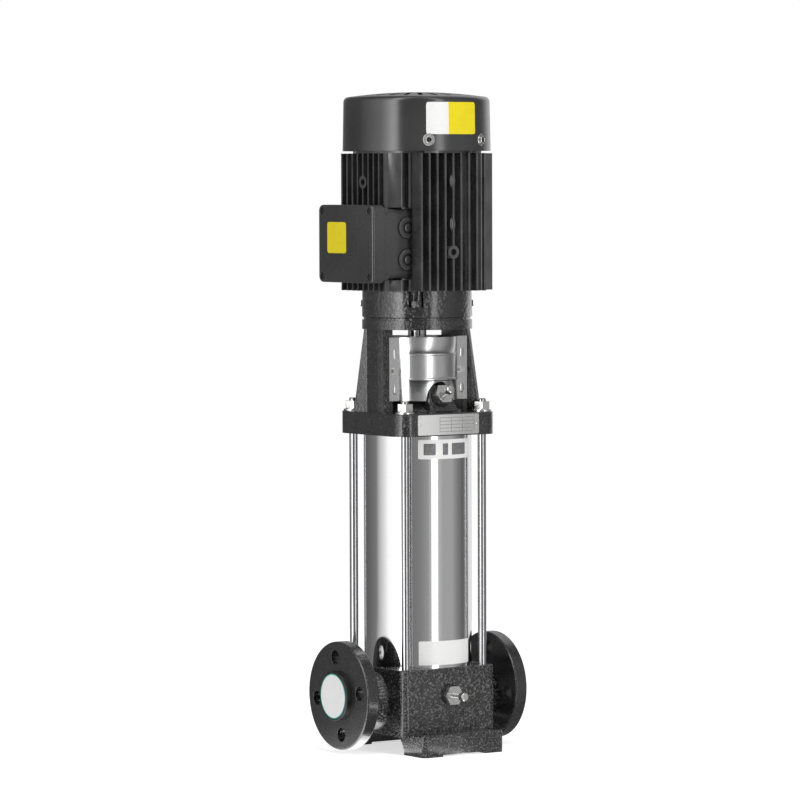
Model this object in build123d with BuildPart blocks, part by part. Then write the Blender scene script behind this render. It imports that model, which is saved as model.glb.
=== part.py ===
from build123d import *
from math import cos, radians, sin, sqrt
import os

# A vertical in-line multistage pump with its electric motor on top.
# The origin is on the floor under the shaft. +Z runs up the shaft, +X from the suction port to the discharge
# port, and -Y to the front, where the drain plug and the vent plug are. Lengths are in millimetres.
os.makedirs("parts", exist_ok=True)

# Driving sizes of the base casting
port_to_port = 250.0
port_height = 75.0
port_bore = 32.0
flange_diameter = 140.0
flange_thickness = 18.0
flange_bolt_circle = 100.0
suction_bolt_hole = 18.0
discharge_bolt_hole = 18.4
flange_hole_turn = 8.0
neck_width = 82.0
neck_height = 80.0
neck_corner = 36.0
neck_centre_height = 66.0
neck_taper = 16.0
block_width = 146.0
block_corner = 10.0
base_height = 110.0
arch_height = 24.0
arch_flare = 17.0
foot_length = 210.0
foot_depth = 45.0
foot_width = 126.0
foot_height = 29.0
foot_relief = 2.5
foot_relief_width = 66.0
foot_bolt_spacing_x = 100.0
foot_bolt_spacing_y = 180.0
foot_bolt_hole = 13.0
annulus_floor = 44.0
annulus_diameter = 120.0
standpipe_diameter = 68.0
standpipe_bore = 48.0
standpipe_rise = 2.0
suction_bridge_diameter = 46.0

# Driving sizes of the sleeve, its seats and the staybolts
sleeve_diameter = 140.0
sleeve_wall = 1.5
sleeve_seat_depth = 2.0
spigot_clearance = 0.3
spigot_height = 8.0
ring_groove_depth = 2.4
ring_groove_width = 3.2
o_ring_section = 2.3
staybolt_diameter = 11.0
staybolt_spacing = 120.0
staybolt_engagement = 20.0
staybolt_clearance_hole = 13.0
nut_across_flats = 19.0
nut_height = 10.5
washer_diameter = 25.0
washer_thickness = 2.2
staybolt_stick_out = 4.0

# Driving sizes of the pump stages
stage_pitch = 27.0
stage_count = 10
chamber_diameter = 118.0
chamber_wall = 1.5
eye_diameter = 40.0
impeller_diameter = 90.0
impeller_clearance = 0.5
shaft_diameter = 16.0
hub_diameter = 22.0
bore_fit = 0.05
running_gap = 0.3
inlet_chamber_height = 14.0
cover_thickness = 3.0

# Driving sizes of the pump head and the motor stool
stool_plate_width = 152.0
stool_plate_corner = 20.0
stool_plate_thickness = 29.0
name_plate_width = 95.0
name_plate_height = 26.0
stool_opening = 120.0
stool_wall = 8.0
stool_height = 148.0
stool_ring_diameter = 143.0
stool_ring_thickness = 12.0
leg_width = 49.0
gusset_thickness = 7.0
head_flange_diameter = 144.0
head_flange_thickness = 14.0
head_dome_height = 30.0
head_spigot_height = 12.0
head_top_diameter = 68.0
seal_bore = 36.0

# Driving sizes of the vent plug, the drain plug and the two port caps
plug_across_flats = 23.5
plug_head_height = 9.0
plug_thread = 16.0
plug_washer_diameter = 27.0
plug_washer_thickness = 2.0
screw_stem_diameter = 6.0
screw_knob_diameter = 11.0
screw_knob_length = 9.0
drain_screw_reach = 35.0
vent_screw_reach = 27.0
plug_depth = 12.0
vent_tilt = 25.0
vent_face_y = -53.0
vent_face_rise = 4.0
cap_diameter = 65.0
cap_thickness = 8.0
cap_spigot_length = 14.0

# Driving sizes of the guards and the shaft coupling
guard_radius = 51.4
guard_sheet = 1.2
guard_height = 82.0
guard_top_gap = 10.0
guard_span = 120.0
guard_outer_edge = 60.4
guard_bead = 2.0
guard_notch_gap = 1.5
guard_screw = 5.0
coupling_diameter = 54.0
coupling_length = 68.0
coupling_split = 1.5
coupling_screw = 8.0
coupling_screw_y = 19.0
coupling_screw_rise = 38.0
coupling_screw_seat = 9.0
pin_diameter = 5.0
pin_length = 24.0

# Driving sizes of the motor
motor_shaft_diameter = 24.0
bearing_seat_diameter = 25.0
bearing_diameter = 52.0
bearing_width = 15.0
shield_diameter = 143.0
shield_height = 38.0
motor_spigot_diameter = 95.0
motor_spigot_height = 3.0
motor_bolt_circle = 130.0
motor_bolt = 8.0
motor_bolt_angle = 55.0
motor_bolt_seat = 17.0
motor_bolt_pocket = 11.0
motor_bolt_head = 13.5
motor_bolt_head_height = 8.0
frame_length = 177.0
frame_bore = 126.0
frame_wall = 6.0
frame_flat_width = 168.0
frame_corner_diameter = 182.0
fin_pitch = 12.3
fin_thickness = 3.0
core_length = 125.0
rotor_diameter = 72.0
rotor_seat = 30.0
air_gap = 0.5
fan_cover_diameter = 192.0
fan_cover_height = 76.0
fan_cover_sheet = 1.8
fan_diameter = 144.0
fan_blades = 8
cover_screw = 5.0
wire_hole = 8.0

# Driving sizes of the terminal box
box_width = 116.0
box_height = 89.0
box_rise = 61.0
box_face_gap = 9.7
box_wall = 4.0
cover_overhang = 5.5
cover_depth = 18.0
cover_wall = 2.5
entry_spacing = 40.8
entry_margin = 3.3
entry_thread = 20.0
entry_ring = 27.0
board_gap = 9.0
ear_radius = 5.3

# Levels worked out from the driving sizes
standpipe_height = base_height + standpipe_rise
sleeve_bottom = base_height - sleeve_seat_depth
sleeve_bore = sleeve_diameter - 2 * sleeve_wall
spigot_diameter = sleeve_bore - 2 * spigot_clearance
stack_bottom = standpipe_height + inlet_chamber_height
stack_top = stack_bottom + stage_count * stage_pitch
head_bottom = stack_top + cover_thickness
head_shoulder = head_bottom + head_spigot_height
sleeve_top = head_shoulder
sleeve_length = sleeve_top - sleeve_bottom
plate_bottom = sleeve_top - 1.0
plate_top = plate_bottom + stool_plate_thickness
head_top = head_shoulder + head_flange_thickness + head_dome_height
vent_face_z = head_top + vent_face_rise
motor_face = plate_bottom + stool_height
ring_bottom = motor_face - stool_ring_thickness
frame_bottom = motor_face + shield_height
frame_top = frame_bottom + frame_length
frame_tube_diameter = frame_bore + 2 * frame_wall
half_bolt = staybolt_spacing / 2
coupling_bottom = head_top + 13
coupling_top = coupling_bottom + coupling_length
coupling_screw_middle = coupling_bottom + 0.45 * coupling_length
pin_height = coupling_bottom + 16
box_centre_z = frame_bottom + box_rise
box_face_x = frame_flat_width / 2 + box_face_gap
box_inner_x = sqrt((frame_tube_diameter / 2) ** 2 - (box_width / 2) ** 2) + 0.6
entry_x = box_inner_x + entry_ring / 2 + entry_margin
board_x = frame_tube_diameter / 2 + board_gap
board_width = 0.45 * box_width
board_height = 0.74 * box_height
cover_width = box_width + 2 * cover_overhang
cover_height = box_height + 2 * cover_overhang
cover_screw_y = box_width / 2 - 3.5
cover_screw_z = box_height / 2 - 2.5


def save(piece, name):
    """Gives a finished piece its name and writes it as one file."""
    piece.label = name
    export_step(piece, f"parts/{name}.step")


def copies(piece, places):
    """Separate copies of one piece, each moved to its own place."""
    return Compound(children=[piece.moved(place) for place in places])


def upright(radius, height):
    """A cylinder that stands on the plane in use."""
    return Cylinder(radius, height, align=(Align.CENTER, Align.CENTER, Align.MIN))


def corner_places(half_spacing, z):
    """Four places on a square about the shaft."""
    signs = ((-1, -1), (1, -1), (1, 1), (-1, 1))
    return [Location((sx * half_spacing, sy * half_spacing, z)) for sx, sy in signs]


# The base casting stands on a front and a back foot with an arch between them. The suction port leads to a
# standpipe in the middle and the discharge port leaves from the ring chamber around it. Both necks end where
# the flanges begin.
port_plane = Plane(origin=(0, 0, port_height), x_dir=(0, 1, 0), z_dir=(1, 0, 0))
foot_outside = foot_length / 2
foot_inside = foot_outside - foot_depth

with BuildPart() as base:
    with BuildSketch(Plane.XY.offset(arch_height)):
        RectangleRounded(block_width, block_width, block_corner)
    extrude(amount=base_height - arch_height)
    fillet(base.faces().sort_by(Axis.Z)[-1].edges(), radius=2)
    with BuildSketch(Plane.YZ):
        with BuildLine():
            sole = Line((foot_outside, 0), (foot_inside, 0))
            flare = TangentArc(sole @ 1, (foot_inside - arch_flare, arch_height), tangent=(0, 1))
            Polyline(
                flare @ 1,
                (foot_inside - arch_flare, foot_height),
                (foot_outside, foot_height),
                (foot_outside, 0),
            )
        make_face()
    feet = extrude(amount=foot_width / 2, both=True)
    mirror(feet, about=Plane.XZ)
    corners = base.edges().filter_by(Axis.Z).filter_by(lambda e: abs(e.center().Y) > foot_outside - 1)
    fillet(corners, radius=7)
    foot_rims = base.edges().filter_by(lambda e: abs(e.center().Z - foot_height) < 0.01)
    fillet(foot_rims.filter_by(lambda e: abs(e.center().Y) > block_width / 2 + 2), radius=3)
    with Locations((0, 0, foot_relief / 2)):
        Box(foot_relief_width, foot_length + 1, foot_relief, mode=Mode.SUBTRACT)
    for side in (-1, 1):
        neck_start = block_width / 2 - 5
        neck_end = port_to_port / 2 - flange_thickness
        with BuildSketch(port_plane.offset(side * neck_start)):
            with Locations((0, neck_centre_height - port_height)):
                RectangleRounded(neck_width, neck_height, neck_corner)
        extrude(amount=side * (neck_end - neck_start), taper=neck_taper)
    with BuildSketch(Plane.XY.offset(base_height)):
        Circle(spigot_diameter / 2)
    extrude(amount=spigot_height)
    with BuildSketch(Plane.XY.offset(base_height)):
        Circle(sleeve_diameter / 2 + spigot_clearance)
        Circle(spigot_diameter / 2, mode=Mode.SUBTRACT)
    extrude(amount=-sleeve_seat_depth, mode=Mode.SUBTRACT)
    with BuildSketch(Plane.XY.offset(base_height + (spigot_height - ring_groove_width) / 2)):
        Circle(spigot_diameter / 2 + 1)
        Circle(spigot_diameter / 2 - ring_groove_depth, mode=Mode.SUBTRACT)
    extrude(amount=ring_groove_width, mode=Mode.SUBTRACT)
    with BuildSketch(Plane.XY.offset(annulus_floor)):
        Circle(annulus_diameter / 2)
        Circle(standpipe_diameter / 2, mode=Mode.SUBTRACT)
    extrude(amount=base_height + spigot_height, mode=Mode.SUBTRACT)
    with BuildSketch(Plane.XY.offset(standpipe_height)):
        Circle(standpipe_diameter / 2 + 0.5)
    extrude(amount=spigot_height, mode=Mode.SUBTRACT)
    with BuildSketch(port_plane.offset(-standpipe_diameter / 2 + 6)):
        Circle(suction_bridge_diameter / 2)
    extrude(amount=-(annulus_diameter - standpipe_diameter) / 2 - 8)
    with BuildSketch(Plane.XY.offset(annulus_floor)):
        Circle(standpipe_bore / 2)
    extrude(amount=base_height, mode=Mode.SUBTRACT)
    with BuildSketch(port_plane.offset(-port_to_port / 2)):
        Circle(port_bore / 2)
    extrude(amount=port_to_port / 2, mode=Mode.SUBTRACT)
    with BuildSketch(port_plane.offset(port_to_port / 2)):
        Circle(port_bore / 2)
    extrude(amount=-(port_to_port - standpipe_diameter) / 2 + 12, mode=Mode.SUBTRACT)
    with Locations(Plane.XY.offset(base_height)):
        with GridLocations(staybolt_spacing, staybolt_spacing, 2, 2):
            Hole(staybolt_diameter / 2 + bore_fit, depth=staybolt_engagement + 2)
    with Locations(Plane.XY.offset(foot_height)):
        with GridLocations(foot_bolt_spacing_x, foot_bolt_spacing_y, 2, 2):
            Hole(foot_bolt_hole / 2, depth=foot_height)
    drain_plane = Plane(origin=(0, -block_width / 2, port_height), x_dir=(1, 0, 0), z_dir=(0, -1, 0))
    with BuildSketch(drain_plane):
        Circle(plug_thread / 2 + bore_fit)
    extrude(amount=-(block_width - annulus_diameter) / 2 - 6, mode=Mode.SUBTRACT)
    with BuildSketch(drain_plane.offset(-block_width / 2 + standpipe_diameter / 2 + 1)):
        Circle(screw_stem_diameter / 2 - 1)
    extrude(amount=-standpipe_diameter / 2, mode=Mode.SUBTRACT)
save(base.part, "base")

# A round flange stands at the end of each neck, with the bore of the port and four bolt holes. The holes of
# the discharge flange are drilled a little wider, within the tolerance of a drilled hole.
def flange_outline(hole_diameter, turn):
    """Draws the outline of one port flange in the sketch that is open."""
    Circle(flange_diameter / 2)
    Circle(port_bore / 2, mode=Mode.SUBTRACT)
    with PolarLocations(flange_bolt_circle / 2, 4, start_angle=turn):
        Circle(hole_diameter / 2, mode=Mode.SUBTRACT)


with BuildPart() as suction_flange:
    with BuildSketch(port_plane.offset(-port_to_port / 2)):
        flange_outline(suction_bolt_hole, -flange_hole_turn)
    extrude(amount=flange_thickness)
    chamfer(suction_flange.edges().filter_by(GeomType.CIRCLE).group_by(SortBy.RADIUS)[-1], length=1.5)
save(suction_flange.part, "suction_flange")

with BuildPart() as discharge_flange:
    with BuildSketch(port_plane.offset(port_to_port / 2)):
        flange_outline(discharge_bolt_hole, flange_hole_turn)
    extrude(amount=-flange_thickness)
    chamfer(discharge_flange.edges().filter_by(GeomType.CIRCLE).group_by(SortBy.RADIUS)[-1], length=1.5)
save(discharge_flange.part, "discharge_flange")

# The outer sleeve is a plain stainless tube held between the base and the pump head.
with BuildPart() as outer_sleeve:
    with BuildSketch(Plane.XY.offset(sleeve_bottom)):
        Circle(sleeve_diameter / 2)
        Circle(sleeve_bore / 2, mode=Mode.SUBTRACT)
    extrude(amount=sleeve_length)
save(outer_sleeve.part, "outer_sleeve")

# A rubber ring in each spigot groove seals the sleeve.
base_ring_z = base_height + spigot_height / 2
head_ring_z = head_shoulder - 6
ring_circle = spigot_diameter / 2 - ring_groove_depth + o_ring_section / 2 + 0.1
with BuildPart() as sleeve_ring:
    Torus(ring_circle, o_ring_section / 2)
ring_places = [Location((0, 0, base_ring_z)), Location((0, 0, head_ring_z))]
save(copies(sleeve_ring.part, ring_places), "sleeve_o_rings")

# Four staybolts screw into the base and clamp the sleeve under the stool with a nut and a washer each.
staybolt_bottom = base_height - staybolt_engagement
staybolt_top = plate_top + washer_thickness + nut_height + staybolt_stick_out
with BuildPart() as staybolt:
    upright(staybolt_diameter / 2, staybolt_top - staybolt_bottom)
    chamfer(staybolt.edges(), length=1)
save(copies(staybolt.part, corner_places(half_bolt, staybolt_bottom)), "staybolts")

with BuildPart() as staybolt_nut:
    with BuildSketch():
        RegularPolygon(nut_across_flats / 2, 6, major_radius=False)
        Circle(staybolt_diameter / 2 + bore_fit, mode=Mode.SUBTRACT)
    extrude(amount=nut_height)
    with BuildSketch(Plane.XY, mode=Mode.PRIVATE) as nut_cone:
        Circle(nut_across_flats / 2 + 0.2)
    extrude(nut_cone.sketch, amount=nut_height, taper=-35, mode=Mode.INTERSECT)
save(copies(staybolt_nut.part, corner_places(half_bolt, plate_top + washer_thickness)), "staybolt_nuts")

with BuildPart() as staybolt_washer:
    with BuildSketch():
        Circle(washer_diameter / 2)
        Circle(staybolt_clearance_hole / 2, mode=Mode.SUBTRACT)
    extrude(amount=washer_thickness)
save(copies(staybolt_washer.part, corner_places(half_bolt, plate_top)), "staybolt_washers")

# The pump head closes the sleeve. It rises as a low dome inside the stool and carries the shaft seal and the
# vent.
vent_plane = Plane(
    origin=(0, vent_face_y, vent_face_z),
    x_dir=(1, 0, 0),
    z_dir=(0, -cos(radians(vent_tilt)), sin(radians(vent_tilt))),
)
dome_radius = stool_opening / 2 - 1
dome_shoulder = plate_top + 2
boss_radius = 17.0
boss_foot = 22.0
boss_drop = 20.0

with BuildPart() as pump_head:
    with BuildSketch(Plane.XZ):
        with BuildLine():
            Polyline(
                (seal_bore / 2, head_bottom),
                (seal_bore / 2 + 10, head_bottom),
                (seal_bore / 2 + 10, head_shoulder),
                (annulus_diameter / 2 + 2, head_shoulder),
                (annulus_diameter / 2 + 2, head_bottom),
                (spigot_diameter / 2, head_bottom),
                (spigot_diameter / 2, head_shoulder),
                (head_flange_diameter / 2, head_shoulder),
                (head_flange_diameter / 2, head_shoulder + head_flange_thickness),
                (dome_radius, head_shoulder + head_flange_thickness),
                (dome_radius, dome_shoulder),
                (head_top_diameter / 2, head_top),
                (seal_bore / 2, head_top),
                (seal_bore / 2, head_bottom),
            )
        make_face()
    revolve(axis=Axis.Z)
    with BuildSketch(vent_plane) as boss_outline:
        with BuildLine():
            touch_x = boss_radius * 0.94
            touch_y = boss_radius * sqrt(1 - 0.94**2)
            Polyline(
                (-touch_x, touch_y),
                (-boss_foot, -boss_drop),
                (boss_foot, -boss_drop),
                (touch_x, touch_y),
            )
            ThreePointArc((touch_x, touch_y), (0, boss_radius), (-touch_x, touch_y))
        make_face()
    extrude(amount=-36)
    with BuildSketch(Plane.XY.offset(head_shoulder + head_flange_thickness)):
        Circle(head_flange_diameter)
        Circle(dome_radius, mode=Mode.SUBTRACT)
    extrude(amount=plate_top + 1 - head_shoulder - head_flange_thickness, mode=Mode.SUBTRACT)
    with BuildSketch(Plane.XY.offset(head_bottom)):
        Circle(seal_bore / 2)
    extrude(amount=head_top - head_bottom + 40, mode=Mode.SUBTRACT)
    with BuildSketch(Plane.XY.offset(head_top)):
        Circle(head_top_diameter / 2)
    extrude(amount=40, mode=Mode.SUBTRACT)
    with BuildSketch(vent_plane):
        Circle(plug_thread / 2 + bore_fit)
    extrude(amount=-20, mode=Mode.SUBTRACT)
    with BuildSketch(vent_plane):
        Circle(screw_stem_diameter / 2 - 1)
    extrude(amount=-34, mode=Mode.SUBTRACT)
    with BuildSketch(Plane.XY.offset(head_ring_z - ring_groove_width / 2)):
        Circle(spigot_diameter / 2 + 1)
        Circle(spigot_diameter / 2 - ring_groove_depth, mode=Mode.SUBTRACT)
    extrude(amount=ring_groove_width, mode=Mode.SUBTRACT)
save(pump_head.part, "pump_head")

# The motor stool is one casting: a square plate, two flared legs with gussets, and the ring under the motor.
wall_outside = stool_opening / 2 + stool_wall
gusset_root = (62.8, 20.0)
gusset_direction = 60.0
gusset_reach = 20.0
guard_screw_x = 52.0
guard_screw_z = (plate_top + ring_bottom) / 2
guard_lug_width = 12.0
guard_lug_depth = 11.0
guard_lug_height = 24.0

with BuildPart() as motor_stool:
    with BuildSketch(Plane.XY.offset(plate_bottom)):
        RectangleRounded(stool_plate_width, stool_plate_width, stool_plate_corner)
    extrude(amount=stool_plate_thickness)
    fillet(motor_stool.faces().sort_by(Axis.Z)[-1].edges(), radius=1.5)
    with BuildSketch(Plane.XY.offset(plate_top - 3)):
        Circle(wall_outside)
    extrude(amount=ring_bottom - plate_top + 6)
    with BuildSketch(Plane.XY.offset(ring_bottom)):
        Circle(stool_ring_diameter / 2)
    extrude(amount=stool_ring_thickness)
    with BuildSketch(Plane.XY.offset(head_shoulder + head_flange_thickness)):
        Circle(stool_opening / 2)
    extrude(amount=ring_bottom - head_shoulder - head_flange_thickness, mode=Mode.SUBTRACT)
    with BuildSketch(Plane.XY.offset(plate_bottom)):
        Circle(head_flange_diameter / 2 + 0.5)
    extrude(amount=head_shoulder + head_flange_thickness - plate_bottom, mode=Mode.SUBTRACT)
    with BuildSketch(Plane.XY.offset(ring_bottom)):
        Circle(motor_spigot_diameter / 2 + 0.2)
    extrude(amount=stool_ring_thickness, mode=Mode.SUBTRACT)
    for side in (-1, 1):
        with BuildSketch(Plane.XZ.offset(-side * leg_width / 2)):
            with Locations((0, (plate_top + ring_bottom) / 2)):
                RectangleRounded(2 * wall_outside + 2, ring_bottom - plate_top, 0.5)
        extrude(amount=-side * wall_outside, mode=Mode.SUBTRACT)
    for side_x in (-1, 1):
        for side_y in (-1, 1):
            angle = radians(gusset_direction)
            gusset_plane = Plane(
                origin=(side_x * gusset_root[0], side_y * gusset_root[1], 0),
                x_dir=(side_x * cos(angle), side_y * sin(angle), 0),
                z_dir=(side_y * sin(angle), -side_x * cos(angle), 0),
            )
            with BuildSketch(gusset_plane):
                with BuildLine():
                    up = 1 if gusset_plane.y_dir.Z > 0 else -1
                    Polyline(
                        (0, up * (plate_top - 2)),
                        (gusset_reach, up * (plate_top - 2)),
                        (4, up * (ring_bottom + 4)),
                        (0, up * (ring_bottom + 4)),
                        (0, up * (plate_top - 2)),
                    )
                make_face()
            extrude(amount=gusset_thickness / 2, both=True)
    with Locations(Plane.XY.offset(plate_top)):
        with GridLocations(staybolt_spacing, staybolt_spacing, 2, 2):
            Hole(staybolt_clearance_hole / 2, depth=stool_plate_thickness)
    with Locations(Plane.XY.offset(motor_face)):
        with PolarLocations(motor_bolt_circle / 2, 4, start_angle=motor_bolt_angle):
            Hole(motor_bolt / 2 + bore_fit, depth=stool_ring_thickness)
    for side in (-1, 1):
        leg_edge = Plane(origin=(0, side * leg_width / 2, guard_screw_z), x_dir=(1, 0, 0), z_dir=(0, side, 0))
        with BuildSketch(leg_edge):
            with GridLocations(2 * guard_screw_x + 2, 1, 2, 1):
                RectangleRounded(guard_lug_width, guard_lug_height, 2)
        extrude(amount=-guard_lug_depth)
        with BuildSketch(leg_edge):
            with GridLocations(2 * guard_screw_x, 1, 2, 1):
                Circle(guard_screw / 2 + bore_fit)
        extrude(amount=-guard_lug_depth, mode=Mode.SUBTRACT)
save(motor_stool.part, "motor_stool")

# Two guard plates close the windows of the stool. Each is a bent sheet with two pressed beads and flat edges.
# The front one is cut out round the vent boss.
guard_bottom = ring_bottom - guard_top_gap - guard_height
guard_fold_x = guard_radius * sin(radians(guard_span / 2))
guard_edge_y = leg_width / 2 + guard_sheet / 2
bead_heights = (guard_bottom + 0.34 * guard_height, guard_bottom + 0.73 * guard_height)

with BuildPart() as guard_beads:
    with Locations([(0, 0, z) for z in bead_heights]):
        Torus(guard_radius, guard_bead)
    with Locations((0, -guard_radius, guard_bottom + guard_height / 2)):
        Box(1.5 * guard_radius, 0.7 * guard_radius, guard_height, mode=Mode.INTERSECT)

with BuildPart() as coupling_guard_back:
    with BuildSketch(Plane.XY.offset(guard_bottom)):
        Circle(guard_radius + guard_sheet / 2)
        Circle(guard_radius - guard_sheet / 2, mode=Mode.SUBTRACT)
        with Locations((0, guard_radius)):
            Rectangle(3 * guard_radius, 2 * (guard_radius + guard_edge_y), mode=Mode.SUBTRACT)
        for side in (-1, 1):
            with Locations((side * (guard_fold_x + guard_outer_edge) / 2, -guard_edge_y)):
                Rectangle(guard_outer_edge - guard_fold_x + 1, guard_sheet)
    extrude(amount=guard_height)
    add(guard_beads.part)
    with BuildSketch(Plane.XZ):
        with Locations((0, guard_screw_z)):
            with GridLocations(2 * guard_screw_x, 1, 2, 1):
                Circle(guard_screw / 2 + bore_fit)
    extrude(amount=guard_radius, mode=Mode.SUBTRACT)

with BuildPart() as coupling_guard_front:
    add(coupling_guard_back.part)
    with BuildSketch(vent_plane):
        add(boss_outline.sketch_local)
        offset(amount=guard_notch_gap)
    extrude(amount=boss_radius, both=True, mode=Mode.SUBTRACT)
save(coupling_guard_front.part, "coupling_guard_front")
save(coupling_guard_back.part.rotate(Axis.Z, 180), "coupling_guard_back")

with BuildPart() as guard_screw_piece:
    guard_face = Plane(origin=(0, 0, 0), x_dir=(1, 0, 0), z_dir=(0, -1, 0))
    with BuildSketch(guard_face):
        Circle(0.9 * guard_screw)
    extrude(amount=0.6 * guard_screw)
    with BuildSketch(guard_face):
        Circle(guard_screw / 2)
    extrude(amount=-2 * guard_screw)
guard_screw_y = leg_width / 2 + guard_sheet
guard_screw_places = [
    Location((x, side * -guard_screw_y, guard_screw_z), (0, 0, 90 * (1 - side)))
    for side in (-1, 1)
    for x in (-guard_screw_x, guard_screw_x)
]
save(copies(guard_screw_piece.part, guard_screw_places), "guard_screws")

# The plain plate label is riveted to the front of the stool plate.
with BuildPart() as name_plate:
    with BuildSketch(Plane.XZ.offset(stool_plate_width / 2)):
        with Locations((-3.5, (plate_bottom + plate_top) / 2)):
            RectangleRounded(name_plate_width, name_plate_height, 2)
    extrude(amount=0.6)
save(name_plate.part, "name_plate")

# The vent plug and the drain plug are alike: a hexagon plug on a washer, with a small bleed screw through it.
drain_place = drain_plane.location
vent_place = vent_plane.location

with BuildPart() as plug:
    with BuildSketch(Plane.XY.offset(plug_washer_thickness)):
        RegularPolygon(plug_across_flats / 2, 6, major_radius=False)
    extrude(amount=plug_head_height)
    with BuildSketch(Plane.XY.offset(plug_washer_thickness), mode=Mode.PRIVATE) as plug_cone:
        Circle(plug_across_flats / 2 + 0.3)
    extrude(plug_cone.sketch, amount=plug_head_height, taper=-35, mode=Mode.INTERSECT)
    with BuildSketch():
        Circle(plug_thread / 2)
    extrude(amount=-plug_depth)
    with BuildSketch():
        Circle(plug_thread / 2)
    extrude(amount=plug_washer_thickness)
    with BuildSketch(Plane.XY.offset(-plug_depth)):
        Circle(screw_stem_diameter / 2 + 0.1)
    extrude(amount=plug_depth + plug_washer_thickness + plug_head_height, mode=Mode.SUBTRACT)
save(plug.part.moved(drain_place), "drain_plug")
save(plug.part.moved(vent_place), "vent_plug")

with BuildPart() as plug_washer:
    upright(plug_washer_diameter / 2, plug_washer_thickness)
    Cylinder(plug_thread / 2 + bore_fit, 4 * plug_washer_thickness, mode=Mode.SUBTRACT)
save(copies(plug_washer.part, [drain_place, vent_place]), "plug_washers")

with BuildPart() as drain_screw:
    with Locations((0, 0, -plug_depth)):
        upright(screw_stem_diameter / 2, plug_depth + drain_screw_reach)
    with Locations((0, 0, drain_screw_reach - screw_knob_length)):
        upright(screw_knob_diameter / 2, screw_knob_length)
    chamfer(drain_screw.faces().sort_by(Axis.Z)[-1].edges(), length=1)
save(drain_screw.part.moved(drain_place), "drain_screw")

with BuildPart() as vent_screw:
    with Locations((0, 0, -plug_depth)):
        upright(screw_stem_diameter / 2, plug_depth + vent_screw_reach)
    with Locations((0, 0, vent_screw_reach - screw_knob_length)):
        upright(screw_knob_diameter / 2, screw_knob_length)
    chamfer(vent_screw.faces().sort_by(Axis.Z)[-1].edges(), length=1)
save(vent_screw.part.moved(vent_place), "vent_screw")

# A push-in cap closes each port for transport. Its spigot runs in the bore.
with BuildPart() as port_cap_discharge:
    with BuildSketch(port_plane.offset(port_to_port / 2)):
        Circle(cap_diameter / 2)
    extrude(amount=cap_thickness, taper=4)
    fillet(port_cap_discharge.faces().sort_by(Axis.X)[-1].edges(), radius=1)
    with BuildSketch(port_plane.offset(port_to_port / 2)):
        Circle(port_bore / 2 - 0.1)
    extrude(amount=-cap_spigot_length)
    with BuildSketch(port_plane.offset(port_to_port / 2 - cap_spigot_length)):
        Circle(port_bore / 2 - 2)
    extrude(amount=cap_spigot_length, mode=Mode.SUBTRACT)
save(port_cap_discharge.part, "port_cap_discharge")
save(port_cap_discharge.part.rotate(Axis.Z, 180), "port_cap_suction")

# The inlet chamber stands on the standpipe and carries the stack of stages.
with BuildPart() as inlet_chamber:
    with BuildSketch(Plane.XZ):
        with BuildLine():
            Polyline(
                (standpipe_bore / 2, standpipe_height),
                (standpipe_diameter / 2, standpipe_height),
                (standpipe_diameter / 2, standpipe_height + 2),
                (chamber_diameter / 2, stack_bottom - 6),
                (chamber_diameter / 2, stack_bottom),
                (chamber_diameter / 2 - chamber_wall, stack_bottom),
                (chamber_diameter / 2 - chamber_wall, stack_bottom - 4),
                (standpipe_bore / 2, standpipe_height + 4),
                (standpipe_bore / 2, standpipe_height),
            )
        make_face()
    revolve(axis=Axis.Z)
save(inlet_chamber.part, "inlet_chamber")

# One stage is a chamber, a neck ring in its floor and an impeller. The chamber's guide plate and vanes lead
# the water from the rim of the impeller back to the next eye.
stage_places = [Location((0, 0, stack_bottom + k * stage_pitch)) for k in range(stage_count)]
guide_plate_z = 16.5
guide_plate_thickness = 1.5
guide_plate_diameter = 102.0
guide_vane_count = 6
hub_bottom = 3.0
hub_top = 15.6

with BuildPart() as chamber:
    with BuildSketch():
        Circle(chamber_diameter / 2)
        Circle(chamber_diameter / 2 - chamber_wall, mode=Mode.SUBTRACT)
    extrude(amount=stage_pitch)
    with BuildSketch():
        Circle(chamber_diameter / 2 - chamber_wall / 2)
        Circle(eye_diameter / 2 + 3, mode=Mode.SUBTRACT)
    extrude(amount=chamber_wall)
    with BuildSketch(Plane.XY.offset(guide_plate_z)):
        Circle(guide_plate_diameter / 2)
        Circle(hub_diameter / 2 + running_gap, mode=Mode.SUBTRACT)
    extrude(amount=guide_plate_thickness)
    with BuildSketch(Plane.XY.offset(guide_plate_z)):
        with BuildLine(mode=Mode.PRIVATE) as guide_vane:
            ThreePointArc((24, 0), (40, 7), (chamber_diameter / 2 - chamber_wall / 2, 0))
        with PolarLocations(0, guide_vane_count):
            trace(guide_vane.line, line_width=1.5)
    extrude(amount=stage_pitch - guide_plate_z)
save(copies(chamber.part, stage_places), "stage_chambers")

with BuildPart() as neck_ring:
    with BuildSketch():
        Circle(eye_diameter / 2 + 3)
        Circle(eye_diameter / 2 + 0.3, mode=Mode.SUBTRACT)
    extrude(amount=2 * chamber_wall)
save(copies(neck_ring.part, stage_places), "neck_rings")

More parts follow.
